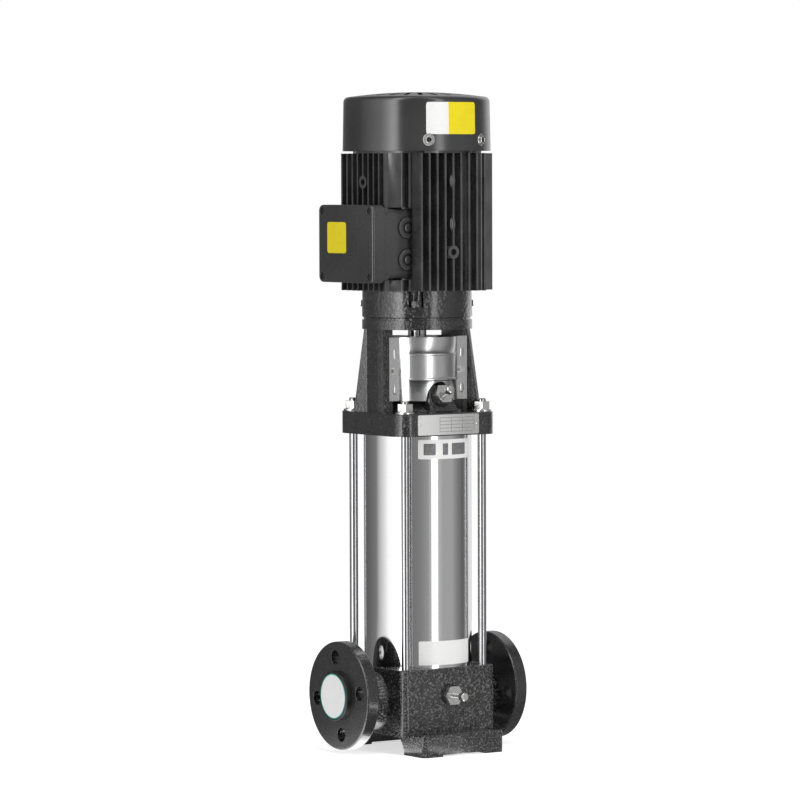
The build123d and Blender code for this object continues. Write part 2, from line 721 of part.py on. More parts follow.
with BuildPart() as impeller:
    with BuildSketch(Plane.XZ):
        with BuildLine():
            Polyline(
                (eye_diameter / 2 - 1.2, 1),
                (eye_diameter / 2, 1),
                (eye_diameter / 2, 4),
                (impeller_diameter / 2, 4),
                (impeller_diameter / 2, 5.2),
                (eye_diameter / 2 - 1.2, 5.2),
                (eye_diameter / 2 - 1.2, 1),
            )
        make_face()
        with BuildLine():
            Polyline(
                (shaft_diameter / 2, hub_bottom),
                (hub_diameter / 2, hub_bottom),
                (hub_diameter / 2, 12.5),
                (impeller_diameter / 2, 12.5),
                (impeller_diameter / 2, 13.7),
                (hub_diameter / 2, 13.7),
                (hub_diameter / 2, hub_top),
                (shaft_diameter / 2, hub_top),
                (shaft_diameter / 2, hub_bottom),
            )
        make_face()
    revolve(axis=Axis.Z)
    with BuildSketch(Plane.XY.offset(4.5)):
        with BuildLine(mode=Mode.PRIVATE) as impeller_vane:
            ThreePointArc((15, 0), (31, 8), (impeller_diameter / 2 - 1, 26))
        with PolarLocations(0, 6):
            trace(impeller_vane.line, line_width=1.2)
        Circle(impeller_diameter / 2 - 0.2, mode=Mode.INTERSECT)
    extrude(amount=8.5)
save(copies(impeller.part, stage_places), "impellers")

# Distance tubes keep the impellers apart on the shaft. The first one stands on the shaft nut.
tube_length = stage_pitch - hub_top + hub_bottom
with BuildPart() as distance_tube:
    with BuildSketch(Plane.XY.offset(hub_top)):
        Circle(hub_diameter / 2)
        Circle(shaft_diameter / 2, mode=Mode.SUBTRACT)
    extrude(amount=tube_length)
save(copies(distance_tube.part, stage_places), "distance_tubes")

# The top plate ends the stack under the pump head and carries the bush of the shaft.
bush_diameter = 26.0
bush_height = 8.0
with BuildPart() as stack_top_plate:
    with BuildSketch(Plane.XY.offset(stack_top)):
        Circle(chamber_diameter / 2)
        Circle(bush_diameter / 2, mode=Mode.SUBTRACT)
        with PolarLocations(45, 12):
            Circle(7, mode=Mode.SUBTRACT)
    extrude(amount=cover_thickness)
save(stack_top_plate.part, "stack_top_plate")

with BuildPart() as shaft_bush:
    with BuildSketch(Plane.XY.offset(stack_top)):
        Circle(bush_diameter / 2)
        Circle(hub_diameter / 2 + 0.1, mode=Mode.SUBTRACT)
    extrude(amount=bush_height)
save(shaft_bush.part, "shaft_bush")

# Two straps run along the stack and hold the chambers together.
strap_thickness = 1.2
strap_width = 12.0
with BuildPart() as strap:
    with BuildSketch(Plane.XY.offset(stack_bottom - 5)):
        Circle(chamber_diameter / 2 + strap_thickness)
        Circle(chamber_diameter / 2, mode=Mode.SUBTRACT)
        with Locations((chamber_diameter / 2, 0)):
            Rectangle(chamber_diameter / 2, strap_width, mode=Mode.INTERSECT)
    extrude(amount=stack_top + cover_thickness - stack_bottom + 5)
save(copies(strap.part, [Location((0, 0, 0), (0, 0, a)) for a in (90, 270)]), "stack_straps")

# The pump shaft carries the impellers between a nut at its foot and the seal at its head.
nut_top = stack_bottom + hub_bottom
shaft_bottom = nut_top - 12
shaft_top = coupling_bottom + 32
with BuildPart() as pump_shaft:
    with Locations((0, 0, shaft_bottom)):
        upright(shaft_diameter / 2, shaft_top - shaft_bottom)
    chamfer(pump_shaft.edges(), length=1)
    with BuildSketch(Plane.XZ.offset(-pin_length / 2)):
        with Locations((0, pin_height)):
            Circle(pin_diameter / 2)
    extrude(amount=pin_length, mode=Mode.SUBTRACT)
save(pump_shaft.part, "pump_shaft")

with BuildPart() as shaft_nut:
    with BuildSketch(Plane.XY.offset(nut_top - 9)):
        RegularPolygon(12, 6, major_radius=False)
        Circle(shaft_diameter / 2, mode=Mode.SUBTRACT)
    extrude(amount=9)
save(shaft_nut.part, "shaft_nut")

# The shaft seal: a rotating carrier with its face, a fixed seat in the head and a gland on top of it.
seal_face_z = head_top - 16
carrier_bottom = stack_top + bush_height + 4
with BuildPart() as seal_rotating:
    with BuildSketch(Plane.XZ):
        with BuildLine():
            Polyline(
                (shaft_diameter / 2, carrier_bottom),
                (12, carrier_bottom),
                (12, seal_face_z - 10),
                (14.5, seal_face_z - 10),
                (14.5, seal_face_z - 4),
                (12.5, seal_face_z - 4),
                (12.5, seal_face_z),
                (shaft_diameter / 2, seal_face_z),
                (shaft_diameter / 2, carrier_bottom),
            )
        make_face()
    revolve(axis=Axis.Z)
save(seal_rotating.part, "seal_rotating_ring")

with BuildPart() as seal_seat:
    with BuildSketch(Plane.XY.offset(seal_face_z + running_gap)):
        Circle(seal_bore / 2 - bore_fit)
        Circle(shaft_diameter / 2 + 0.6, mode=Mode.SUBTRACT)
    extrude(amount=head_top - seal_face_z - running_gap)
save(seal_seat.part, "seal_seat")

gland_thickness = 5.0
with BuildPart() as seal_gland:
    with BuildSketch(Plane.XY.offset(head_top)):
        Circle(head_top_diameter / 2 - 2)
        Circle(shaft_diameter / 2 + 1, mode=Mode.SUBTRACT)
    extrude(amount=gland_thickness)
    chamfer(seal_gland.faces().sort_by(Axis.Z)[-1].edges().sort_by(SortBy.LENGTH)[-1], length=1)
    with Locations(Plane.XY.offset(head_top + gland_thickness)):
        with PolarLocations(25, 3):
            Hole(2.5 + bore_fit, depth=gland_thickness)
save(seal_gland.part, "seal_gland")

with BuildPart() as gland_screws:
    with BuildSketch(Plane.XY.offset(head_top + gland_thickness)):
        with PolarLocations(25, 3):
            RegularPolygon(4, 6, major_radius=False)
    extrude(amount=3.5)
    with BuildSketch(Plane.XY.offset(head_top)):
        with PolarLocations(25, 3):
            Circle(2.5)
    extrude(amount=gland_thickness)
save(gland_screws.part, "gland_screws")

# The shaft coupling is a sleeve split in two halves, clamped round both shafts by four cap screws.
with BuildPart() as coupling_half:
    with BuildSketch(Plane.XY.offset(coupling_bottom)):
        Circle(coupling_diameter / 2)
        Circle(shaft_diameter / 2, mode=Mode.SUBTRACT)
        with Locations((-coupling_diameter / 2 + coupling_split / 2, 0)):
            Rectangle(coupling_diameter, 2 * coupling_diameter, mode=Mode.SUBTRACT)
    extrude(amount=coupling_length)
    with BuildSketch(Plane.XY.offset(shaft_top + 2)):
        Circle(motor_shaft_diameter / 2)
    extrude(amount=coupling_length, mode=Mode.SUBTRACT)
    with BuildSketch(Plane.XZ.offset(-pin_length / 2)):
        with Locations((0, pin_height)):
            Circle(pin_diameter / 2)
    extrude(amount=pin_length, mode=Mode.SUBTRACT)
    with BuildSketch(Plane.YZ):
        with Locations((0, coupling_top)):
            Rectangle(9, 12)
            with Locations((-coupling_diameter / 2, 0), (coupling_diameter / 2, 0)):
                Rectangle(9, 12)
    extrude(amount=coupling_diameter, mode=Mode.SUBTRACT)
    with BuildSketch(Plane.YZ):
        with Locations((0, coupling_screw_middle)):
            with GridLocations(2 * coupling_screw_y, coupling_screw_rise, 2, 2):
                Circle(coupling_screw / 2 + bore_fit)
    extrude(amount=coupling_diameter, mode=Mode.SUBTRACT)
    with BuildSketch(Plane.YZ.offset(coupling_screw_seat)):
        with Locations((0, coupling_screw_middle)):
            with GridLocations(2 * coupling_screw_y, coupling_screw_rise, 2, 2):
                Circle(0.82 * coupling_screw)
    extrude(amount=coupling_diameter, mode=Mode.SUBTRACT)
save(coupling_half.part, "coupling_half_right")
save(coupling_half.part.rotate(Axis.Z, 180), "coupling_half_left")

with BuildPart() as coupling_screws:
    with BuildSketch(Plane.YZ.offset(coupling_screw_seat)):
        with Locations((0, coupling_screw_middle)):
            with GridLocations(2 * coupling_screw_y, coupling_screw_rise, 2, 2):
                Circle(0.78 * coupling_screw)
    extrude(amount=coupling_screw)
    with BuildSketch(Plane.YZ.offset(-coupling_screw_seat)):
        with Locations((0, coupling_screw_middle)):
            with GridLocations(2 * coupling_screw_y, coupling_screw_rise, 2, 2):
                Circle(coupling_screw / 2)
    extrude(amount=2 * coupling_screw_seat)
save(coupling_screws.part, "coupling_screws")

with BuildPart() as coupling_pin:
    with BuildSketch(Plane.XZ.offset(-pin_length / 2)):
        with Locations((0, pin_height)):
            Circle(pin_diameter / 2)
    extrude(amount=pin_length)
save(coupling_pin.part, "coupling_pin")

# The motor stands on the stool. Its lower end shield holds the lower bearing, and four bolts in pockets hold
# it down.
shield_wall = 48.0
bearing_hub = 32.0
lower_bearing_z = motor_face + 12
with BuildPart() as drive_end_shield:
    with BuildSketch(Plane.XZ):
        with BuildLine():
            Polyline(
                (motor_shaft_diameter / 2 + 2, motor_face),
                (motor_spigot_diameter / 2 - 8, motor_face),
                (motor_spigot_diameter / 2 - 8, motor_face - motor_spigot_height),
                (motor_spigot_diameter / 2, motor_face - motor_spigot_height),
                (motor_spigot_diameter / 2, motor_face),
                (shield_diameter / 2 - 2, motor_face),
                (shield_diameter / 2 - 2, motor_face + 3),
                (shield_diameter / 2, motor_face + 4),
                (shield_diameter / 2, frame_bottom),
                (frame_bore / 2 - bore_fit, frame_bottom),
                (frame_bore / 2 - bore_fit, frame_bottom + 4),
                (frame_bore / 2 - 5, frame_bottom + 4),
                (shield_wall, frame_bottom - 4),
                (shield_wall, motor_face + 9),
                (bearing_hub, motor_face + 9),
                (bearing_hub, lower_bearing_z + bearing_width),
                (bearing_diameter / 2, lower_bearing_z + bearing_width),
                (bearing_diameter / 2, lower_bearing_z),
                (motor_shaft_diameter / 2 + 2, lower_bearing_z),
                (motor_shaft_diameter / 2 + 2, motor_face),
            )
        make_face()
    revolve(axis=Axis.Z)
    with BuildSketch(Plane.XY.offset(motor_face + motor_bolt_seat)):
        with PolarLocations(motor_bolt_circle / 2, 4, start_angle=motor_bolt_angle):
            Circle(motor_bolt_pocket)
    extrude(amount=shield_height - motor_bolt_seat, mode=Mode.SUBTRACT)
    with Locations(Plane.XY.offset(motor_face + motor_bolt_seat)):
        with PolarLocations(motor_bolt_circle / 2, 4, start_angle=motor_bolt_angle):
            Hole(motor_bolt / 2 + bore_fit, depth=motor_bolt_seat)
save(drive_end_shield.part, "drive_end_shield")

with BuildPart() as motor_bolt_piece:
    upright(0.62 * motor_bolt_head, 0.2 * motor_bolt_head_height)
    with BuildSketch():
        RegularPolygon(motor_bolt_head / 2, 6, major_radius=False)
    extrude(amount=motor_bolt_head_height)
    with BuildSketch():
        Circle(motor_bolt / 2)
    extrude(amount=-motor_bolt_seat - stool_ring_thickness)
with BuildPart() as motor_bolts:
    with Locations((0, 0, motor_face + motor_bolt_seat)):
        with PolarLocations(motor_bolt_circle / 2, 4, start_angle=motor_bolt_angle):
            add(motor_bolt_piece.part)
save(motor_bolts.part, "motor_bolts")

# The stator frame is a tube with nine upright fins on each side and a raised pad at each corner. The fins
# stop short round the terminal box, and two of them carry a ring boss for a lifting eye.
pad_inside = frame_bore / 2 - 5
pad_width = 23.0
pad_offset = 12.5
rib_reach = 80.0
box_zone_height = box_height + 4.0
entry_room = 6.0
pad_room = 20.0
fin_side_x = 51.5
ring_boss_radius = 8.5
ring_boss_places = ((-90, frame_bottom + 50), (180, frame_bottom + 140))
with BuildPart() as stator_frame:
    with BuildSketch(Plane.XY.offset(frame_bottom)):
        for quarter in range(4):
            with Locations(Location((0, 0, 0), (0, 0, 90 * quarter))):
                with Locations((0, frame_flat_width / 4)):
                    with GridLocations(fin_pitch, 1, 9, 1):
                        Rectangle(fin_thickness, frame_flat_width / 2)
            with Locations(Location((0, 0, 0), (0, 0, 90 * quarter + 45))):
                with Locations(((pad_inside + frame_corner_diameter / 2) / 2, -pad_offset)):
                    RectangleRounded(frame_corner_diameter / 2 - pad_inside, pad_width, 3)
                with Locations((rib_reach - 10, 6), (rib_reach - 10, 15)):
                    Rectangle(20, fin_thickness)
        Circle(frame_tube_diameter / 2)
        Circle(frame_bore / 2, mode=Mode.SUBTRACT)
    extrude(amount=frame_length)
    with BuildSketch(Plane.XY.offset(box_centre_z - box_zone_height / 2)):
        with Locations((-box_face_x, 0)):
            Rectangle(2 * (box_face_x - box_inner_x) + 1, box_width + 2 * entry_room)
            Rectangle(2 * (box_face_x - fin_side_x), box_width + 2 * pad_room)
        Circle(frame_tube_diameter / 2, mode=Mode.SUBTRACT)
    extrude(amount=box_zone_height, mode=Mode.SUBTRACT)
    for turn, level in ring_boss_places:
        boss_plane = Plane.YZ.rotated((0, 0, turn)).offset(frame_flat_width / 2)
        with BuildSketch(boss_plane):
            with Locations((0, level)):
                Circle(ring_boss_radius)
        extrude(amount=frame_tube_diameter / 2 - frame_flat_width / 2 - 1)
        with BuildSketch(boss_plane):
            with Locations((0, level)):
                Circle(ring_boss_radius / 2)
        extrude(amount=-ring_boss_radius, mode=Mode.SUBTRACT)
    with BuildSketch(Plane.YZ.offset(-frame_flat_width / 2)):
        with Locations((0, box_centre_z)):
            Circle(wire_hole)
    extrude(amount=frame_flat_width / 2, mode=Mode.SUBTRACT)
save(stator_frame.part, "stator_frame")

core_bottom = frame_bottom + (frame_length - core_length) / 2
with BuildPart() as stator_core:
    with BuildSketch(Plane.XY.offset(core_bottom)):
        Circle(frame_bore / 2)
        Circle(rotor_diameter / 2 + air_gap, mode=Mode.SUBTRACT)
        with PolarLocations(rotor_diameter / 2 + 8, 24):
            Rectangle(17, 4, mode=Mode.SUBTRACT)
    extrude(amount=core_length)
save(stator_core.part, "stator_core")

with BuildPart() as winding:
    with BuildSketch(Plane.XZ):
        with Locations(((rotor_diameter + frame_bore) / 4, 8)):
            RectangleRounded(17, 16, 4)
    revolve(axis=Axis.Z)
winding_places = [Location((0, 0, core_bottom - 16)), Location((0, 0, core_bottom + core_length))]
save(copies(winding.part, winding_places), "windings")

# The rotor: a laminated core with an end ring each side on the motor shaft.
with BuildPart() as rotor_core:
    with BuildSketch(Plane.XZ):
        with BuildLine():
            Polyline(
                (rotor_seat / 2, core_bottom - 8),
                (rotor_diameter / 2 - 3, core_bottom - 8),
                (rotor_diameter / 2 - 3, core_bottom),
                (rotor_diameter / 2, core_bottom),
                (rotor_diameter / 2, core_bottom + core_length),
                (rotor_diameter / 2 - 3, core_bottom + core_length),
                (rotor_diameter / 2 - 3, core_bottom + core_length + 8),
                (rotor_seat / 2, core_bottom + core_length + 8),
                (rotor_seat / 2, core_bottom - 8),
            )
        make_face()
    revolve(axis=Axis.Z)
save(rotor_core.part, "rotor_core")

upper_bearing_z = frame_top - bearing_width - 1
fan_seat = 20.0
fan_bottom = frame_top + 14
with BuildPart() as motor_shaft:
    with BuildSketch(Plane.XZ):
        with BuildLine():
            Polyline(
                (0, shaft_top + 6),
                (motor_shaft_diameter / 2, shaft_top + 6),
                (motor_shaft_diameter / 2, lower_bearing_z - 1),
                (bearing_seat_diameter / 2, lower_bearing_z - 1),
                (bearing_seat_diameter / 2, lower_bearing_z + bearing_width),
                (rotor_seat / 2, lower_bearing_z + bearing_width),
                (rotor_seat / 2, upper_bearing_z),
                (bearing_seat_diameter / 2, upper_bearing_z),
                (bearing_seat_diameter / 2, upper_bearing_z + bearing_width),
                (fan_seat / 2, upper_bearing_z + bearing_width),
                (fan_seat / 2, fan_bottom + 30),
                (0, fan_bottom + 30),
                (0, shaft_top + 6),
            )
        make_face()
    revolve(axis=Axis.Z)
save(motor_shaft.part, "motor_shaft")

# Two sealed ball bearings carry the rotor. Each has an outer and an inner ring.
ring_split = (bearing_seat_diameter + bearing_diameter) / 4
bearing_places = [Location((0, 0, lower_bearing_z)), Location((0, 0, upper_bearing_z))]
with BuildPart() as bearing_outer:
    with BuildSketch():
        Circle(bearing_diameter / 2)
        Circle(ring_split - 2, mode=Mode.SUBTRACT)
    extrude(amount=bearing_width)
save(copies(bearing_outer.part, bearing_places), "bearing_outer_rings")

with BuildPart() as bearing_inner:
    with BuildSketch():
        Circle(ring_split - 2 - running_gap)
        Circle(bearing_seat_diameter / 2, mode=Mode.SUBTRACT)
    extrude(amount=bearing_width)
save(copies(bearing_inner.part, bearing_places), "bearing_inner_rings")

# The upper end shield closes the frame, holds the upper bearing and carries four lugs for the fan cover.
upper_shield_radius = frame_tube_diameter / 2 + 11
lug_reach = fan_cover_diameter / 2 - fan_cover_sheet - 0.5
lug_root = upper_shield_radius - 6
lug_width = 14.0
lug_height = 22.0
shield_plate = 8.0
screw_level = frame_top + 17
screw_turns = (-114, -66, 66, 114)
with BuildPart() as non_drive_end_shield:
    with BuildSketch(Plane.XZ):
        with BuildLine():
            Polyline(
                (fan_seat / 2 + 1.5, frame_top),
                (fan_seat / 2 + 1.5, frame_top + shield_plate),
                (upper_shield_radius - 1, frame_top + shield_plate),
                (upper_shield_radius, frame_top + shield_plate - 1),
                (upper_shield_radius, frame_top),
                (frame_bore / 2 - bore_fit, frame_top),
                (frame_bore / 2 - bore_fit, frame_top - 5),
                (frame_bore / 2 - 5, frame_top - 5),
                (frame_bore / 2 - 5, frame_top + 2),
                (bearing_hub, frame_top + 2),
                (bearing_hub, upper_bearing_z),
                (bearing_diameter / 2, upper_bearing_z),
                (bearing_diameter / 2, frame_top),
                (fan_seat / 2 + 1.5, frame_top),
            )
        make_face()
    revolve(axis=Axis.Z)
    with BuildSketch(Plane.XY.offset(frame_top)):
        for turn in screw_turns:
            with Locations(Location((0, 0, 0), (0, 0, turn))):
                with Locations(((lug_root + lug_reach) / 2, 0)):
                    Rectangle(lug_reach - lug_root, lug_width)
        Circle(lug_reach, mode=Mode.INTERSECT)
    extrude(amount=lug_height)
    for turn in screw_turns:
        with BuildSketch(Plane.YZ.rotated((0, 0, turn))):
            with Locations((0, screw_level)):
                Circle(cover_screw / 2 + bore_fit)
        extrude(amount=2 * lug_reach, mode=Mode.SUBTRACT)
save(non_drive_end_shield.part, "non_drive_end_shield")

with BuildPart() as wave_washer:
    with BuildSketch(Plane.XY.offset(upper_bearing_z + bearing_width)):
        Circle(bearing_diameter / 2 - 0.5)
        Circle(ring_split - 1, mode=Mode.SUBTRACT)
    extrude(amount=1)
save(wave_washer.part, "wave_washer")

with BuildPart() as fan:
    with BuildSketch(Plane.XY.offset(fan_bottom)):
        Circle(fan_diameter / 2 - 6)
        Circle(fan_seat / 2, mode=Mode.SUBTRACT)
    extrude(amount=3)
    with BuildSketch(Plane.XY.offset(fan_bottom)):
        Circle(fan_seat / 2 + 7)
        Circle(fan_seat / 2, mode=Mode.SUBTRACT)
    extrude(amount=26)
    with BuildSketch(Plane.XY.offset(fan_bottom)):
        with PolarLocations((fan_seat + fan_diameter) / 4 + 3, fan_blades):
            Rectangle((fan_diameter - fan_seat) / 2 - 6, 2.5)
    extrude(amount=38)
save(fan.part, "fan")

# The fan cover is a drawn sheet cap with a round shoulder, a low dome and two rings of slots.
cover_bottom = frame_top + 3
cover_top = cover_bottom + fan_cover_height
cover_radius = fan_cover_diameter / 2
shoulder_radius = 7.0
dome_rise = 6.0
cover_draft = 1.2


def fan_cover_profile(inset):
    """Half profile of the outer or the inner surface of the fan cover, filled in to the axis."""
    shoulder_x = cover_radius - cover_draft
    shoulder_z = cover_top - dome_rise
    rim = (cover_radius - inset, cover_bottom)
    shoulder = (shoulder_x - inset, shoulder_z - shoulder_radius)
    half_turn = shoulder_radius - (shoulder_radius - inset) * sqrt(0.5)
    corner = (shoulder_x - half_turn, shoulder_z - half_turn)
    turned = (shoulder_x - shoulder_radius, shoulder_z - inset)
    crown = (0, cover_top - inset)
    with BuildSketch(Plane.XZ) as profile:
        with BuildLine():
            Polyline(crown, (0, cover_bottom), rim, shoulder)
            ThreePointArc(shoulder, corner, turned)
            TangentArc(crown, turned, tangent=(1, 0))
        make_face()
    return profile.sketch


with BuildPart() as fan_cover:
    revolve(fan_cover_profile(0), axis=Axis.Z)
    revolve(fan_cover_profile(fan_cover_sheet), axis=Axis.Z, mode=Mode.SUBTRACT)
    with BuildSketch(Plane.XY.offset(cover_top)):
        with PolarLocations(56, 24):
            SlotOverall(44, 6)
        with PolarLocations(20, 10):
            SlotOverall(16, 4.5)
    extrude(amount=-4 * dome_rise, mode=Mode.SUBTRACT)
    for turn in screw_turns:
        with BuildSketch(Plane.YZ.rotated((0, 0, turn))):
            with Locations((0, screw_level)):
                Circle(cover_screw / 2 + bore_fit)
        extrude(amount=2 * cover_radius, mode=Mode.SUBTRACT)
save(fan_cover.part, "fan_cover")

with BuildPart() as cover_screw_piece:
    with BuildSketch(Plane.YZ.offset(cover_radius - 0.1)):
        with Locations((0, screw_level)):
            Circle(7.8)
            Circle(cover_screw / 2, mode=Mode.SUBTRACT)
    extrude(amount=1.2)
    with BuildSketch(Plane.YZ.offset(cover_radius + 1)):
        with Locations((0, screw_level)):
            Circle(5)
    extrude(amount=3)
    with BuildSketch(Plane.YZ.offset(cover_radius + 1)):
        with Locations((0, screw_level)):
            Circle(cover_screw / 2)
    extrude(amount=-12)
cover_screw_places = [Location((0, 0, 0), (0, 0, turn)) for turn in screw_turns]
save(copies(cover_screw_piece.part, cover_screw_places), "fan_cover_screws")

# The terminal box is cast to fit round the frame tube, with two posts for the terminal board inside.
box_plane = Plane.XY.offset(box_centre_z - box_height / 2)
box_depth = box_face_x - box_inner_x
ear_depth = box_face_x - frame_flat_width / 2 - 0.4
ear_y = cover_screw_y
ear_z = cover_screw_z
with BuildPart() as terminal_box:
    with BuildSketch(box_plane):
        with Locations((-box_inner_x - box_depth / 2, 0)):
            Rectangle(box_depth, box_width)
        Circle(frame_tube_diameter / 2 + bore_fit, mode=Mode.SUBTRACT)
    extrude(amount=box_height)
    long_edges = terminal_box.edges().filter_by(Axis.X)
    fillet(long_edges.filter_by(lambda e: abs(e.center().Y) > box_width / 2 - 1), radius=6)
    with BuildSketch(Plane.YZ.offset(-box_face_x)):
        with Locations((0, box_centre_z)):
            with GridLocations(2 * ear_y, 2 * ear_z, 2, 2):
                Circle(ear_radius)
    extrude(amount=ear_depth)
    with BuildSketch(box_plane.offset(box_wall)):
        with Locations((-box_inner_x - box_depth / 2, 0)):
            Rectangle(box_depth - 2 * box_wall, box_width - 2 * box_wall)
            with Locations((-box_wall, 0)):
                Rectangle(box_depth - 2 * box_wall, box_width - 2 * box_wall)
        Circle(frame_tube_diameter / 2 + 3, mode=Mode.SUBTRACT)
    extrude(amount=box_height - 2 * box_wall, mode=Mode.SUBTRACT)
    with BuildSketch(Plane.YZ.offset(-board_x)):
        with Locations((0, box_centre_z)):
            with GridLocations(1, board_height - 10, 1, 2):
                Rectangle(board_width - 12, 8)
    extrude(amount=board_x - frame_tube_diameter / 2 - 2)
    with BuildSketch(Plane.YZ.offset(-frame_flat_width / 2)):
        with Locations((0, box_centre_z)):
            Circle(wire_hole)
    extrude(amount=frame_flat_width / 2, mode=Mode.SUBTRACT)
    with BuildSketch(Plane.XZ.offset(box_width / 2 - 2 * box_wall)):
        with Locations((-entry_x, box_centre_z)):
            with GridLocations(1, entry_spacing, 1, 2):
                Circle(entry_thread / 2 + bore_fit)
    extrude(amount=3 * box_wall, mode=Mode.SUBTRACT)
    with BuildSketch(Plane.YZ.offset(-box_face_x)):
        with Locations((0, box_centre_z)):
            with GridLocations(2 * ear_y, 2 * ear_z, 2, 2):
                Circle(cover_screw / 2 + bore_fit)
    extrude(amount=12, mode=Mode.SUBTRACT)
save(terminal_box.part, "terminal_box")

gasket_thickness = 1.5
with BuildPart() as box_gasket:
    with BuildSketch(Plane.YZ.offset(-box_face_x - gasket_thickness)):
        with Locations((0, box_centre_z)):
            RectangleRounded(box_width, box_height, 6)
            with GridLocations(2 * ear_y, 2 * ear_z, 2, 2):
                Circle(ear_radius)
            Rectangle(box_width - 2 * box_wall, box_height - 2 * box_wall, mode=Mode.SUBTRACT)
            with GridLocations(2 * ear_y, 2 * ear_z, 2, 2):
                Circle(cover_screw / 2 + bore_fit, mode=Mode.SUBTRACT)
    extrude(amount=gasket_thickness)
save(box_gasket.part, "terminal_box_gasket")

cover_back_x = box_face_x + gasket_thickness
cover_front_x = cover_back_x + cover_depth - 2
with BuildPart() as box_cover:
    with BuildSketch(Plane.YZ.offset(-cover_front_x)):
        with Locations((0, box_centre_z)):
            RectangleRounded(cover_width, cover_height, 8)
    extrude(amount=cover_depth)
    fillet(box_cover.faces().sort_by(Axis.X)[0].edges(), radius=3)
    with BuildSketch(Plane.YZ.offset(-cover_front_x + cover_wall)):
        with Locations((0, box_centre_z)):
            RectangleRounded(cover_width - 2 * cover_wall, cover_height - 2 * cover_wall, 5)
    extrude(amount=cover_depth, mode=Mode.SUBTRACT)
    with BuildSketch(Plane.YZ.offset(-cover_front_x + 1)):
        with Locations((0, box_centre_z)):
            with GridLocations(2 * ear_y, 2 * ear_z, 2, 2):
                Circle(ear_radius)
    extrude(amount=cover_front_x - cover_back_x - 1)
    with BuildSketch(Plane.YZ.offset(-cover_front_x)):
        with Locations((0, box_centre_z)):
            with GridLocations(2 * ear_y, 2 * ear_z, 2, 2):
                Circle(4.4)
    extrude(amount=5, mode=Mode.SUBTRACT)
    with BuildSketch(Plane.YZ.offset(-cover_front_x)):
        with Locations((0, box_centre_z)):
            with GridLocations(2 * ear_y, 2 * ear_z, 2, 2):
                Circle(cover_screw / 2 + bore_fit)
    extrude(amount=cover_depth, mode=Mode.SUBTRACT)
save(box_cover.part, "terminal_box_cover")

with BuildPart() as box_screws:
    with BuildSketch(Plane.YZ.offset(-cover_front_x + 1.5)):
        with Locations((0, box_centre_z)):
            with GridLocations(2 * ear_y, 2 * ear_z, 2, 2):
                Circle(4.2)
    extrude(amount=3.5)
    with BuildSketch(Plane.YZ.offset(-cover_front_x + 5)):
        with Locations((0, box_centre_z)):
            with GridLocations(2 * ear_y, 2 * ear_z, 2, 2):
                Circle(cover_screw / 2)
    extrude(amount=cover_front_x - box_face_x + 3)
save(box_screws.part, "terminal_box_screws")

# Two plugs close the cable entries at the side of the box.
with BuildPart() as entry_plug:
    entry_face = Plane(origin=(0, 0, 0), x_dir=(1, 0, 0), z_dir=(0, -1, 0))
    with BuildSketch(entry_face):
        Circle(entry_ring / 2)
    extrude(amount=3.5)
    chamfer(entry_plug.faces().sort_by(Axis.Y)[0].edges(), length=1)
    with BuildSketch(entry_face):
        Circle(entry_thread / 2)
    extrude(amount=-box_wall - 1)
    with BuildSketch(entry_face.offset(1)):
        Circle(entry_ring * 0.3)
    extrude(amount=5, mode=Mode.SUBTRACT)
entry_places = [Location((-entry_x, -box_width / 2, box_centre_z + s * entry_spacing / 2)) for s in (-1, 1)]
save(copies(entry_plug.part, entry_places), "cable_entry_plugs")

stud_spacing = board_width / 3
stud_rows = 0.36 * board_height
with BuildPart() as terminal_board:
    with BuildSketch(Plane.YZ.offset(-board_x)):
        with Locations((0, box_centre_z)):
            RectangleRounded(board_width, board_height, 3)
            with GridLocations(stud_spacing, stud_rows, 3, 2):
                Circle(2 + bore_fit, mode=Mode.SUBTRACT)
    extrude(amount=-5)
save(terminal_board.part, "terminal_board")

with BuildPart() as terminal_studs:
    with BuildSketch(Plane.YZ.offset(-board_x - 14)):
        with Locations((0, box_centre_z)):
            with GridLocations(stud_spacing, stud_rows, 3, 2):
                Circle(2)
    extrude(amount=14)
    with BuildSketch(Plane.YZ.offset(-board_x - 9)):
        with Locations((0, box_centre_z)):
            with GridLocations(stud_spacing, stud_rows, 3, 2):
                RegularPolygon(3.5, 6, major_radius=False)
    extrude(amount=4)
save(terminal_studs.part, "terminal_studs")
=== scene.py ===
import math

import bmesh
import bpy
import numpy as np
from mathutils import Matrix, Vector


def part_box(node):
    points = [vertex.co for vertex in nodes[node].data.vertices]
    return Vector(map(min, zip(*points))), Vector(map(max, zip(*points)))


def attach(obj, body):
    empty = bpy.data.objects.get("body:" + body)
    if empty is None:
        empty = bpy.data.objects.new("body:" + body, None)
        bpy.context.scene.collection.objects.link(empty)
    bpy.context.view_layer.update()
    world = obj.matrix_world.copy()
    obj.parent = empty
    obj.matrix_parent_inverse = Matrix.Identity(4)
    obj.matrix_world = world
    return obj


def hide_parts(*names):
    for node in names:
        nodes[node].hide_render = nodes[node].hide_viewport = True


# A vertical multistage pump: a cast base with two port flanges, a polished sleeve between four staybolts, a cast
# stool with the shaft coupling, and a finned motor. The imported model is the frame, in metres, and gives the sizes.
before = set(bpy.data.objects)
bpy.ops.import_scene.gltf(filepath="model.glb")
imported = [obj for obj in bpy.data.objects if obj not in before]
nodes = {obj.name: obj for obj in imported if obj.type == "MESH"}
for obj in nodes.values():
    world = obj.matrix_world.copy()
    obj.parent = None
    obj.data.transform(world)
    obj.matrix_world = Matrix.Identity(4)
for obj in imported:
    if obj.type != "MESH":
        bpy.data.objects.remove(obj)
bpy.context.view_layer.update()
MM = 0.001
FIXED = "pump_and_motor"

# The studio: a plain white paper floor and a white surround, with three soft lamps. Shiny faces see upright bands of
# light all round the pump, as softboxes with dark gaps between them give; where shiny faces see the floor, it glows
# in the same bands, a painted reflection, though the floor is no lamp.
scene = bpy.context.scene
scene.view_settings.view_transform = "Standard"
PHOTO_TURN = 34.0


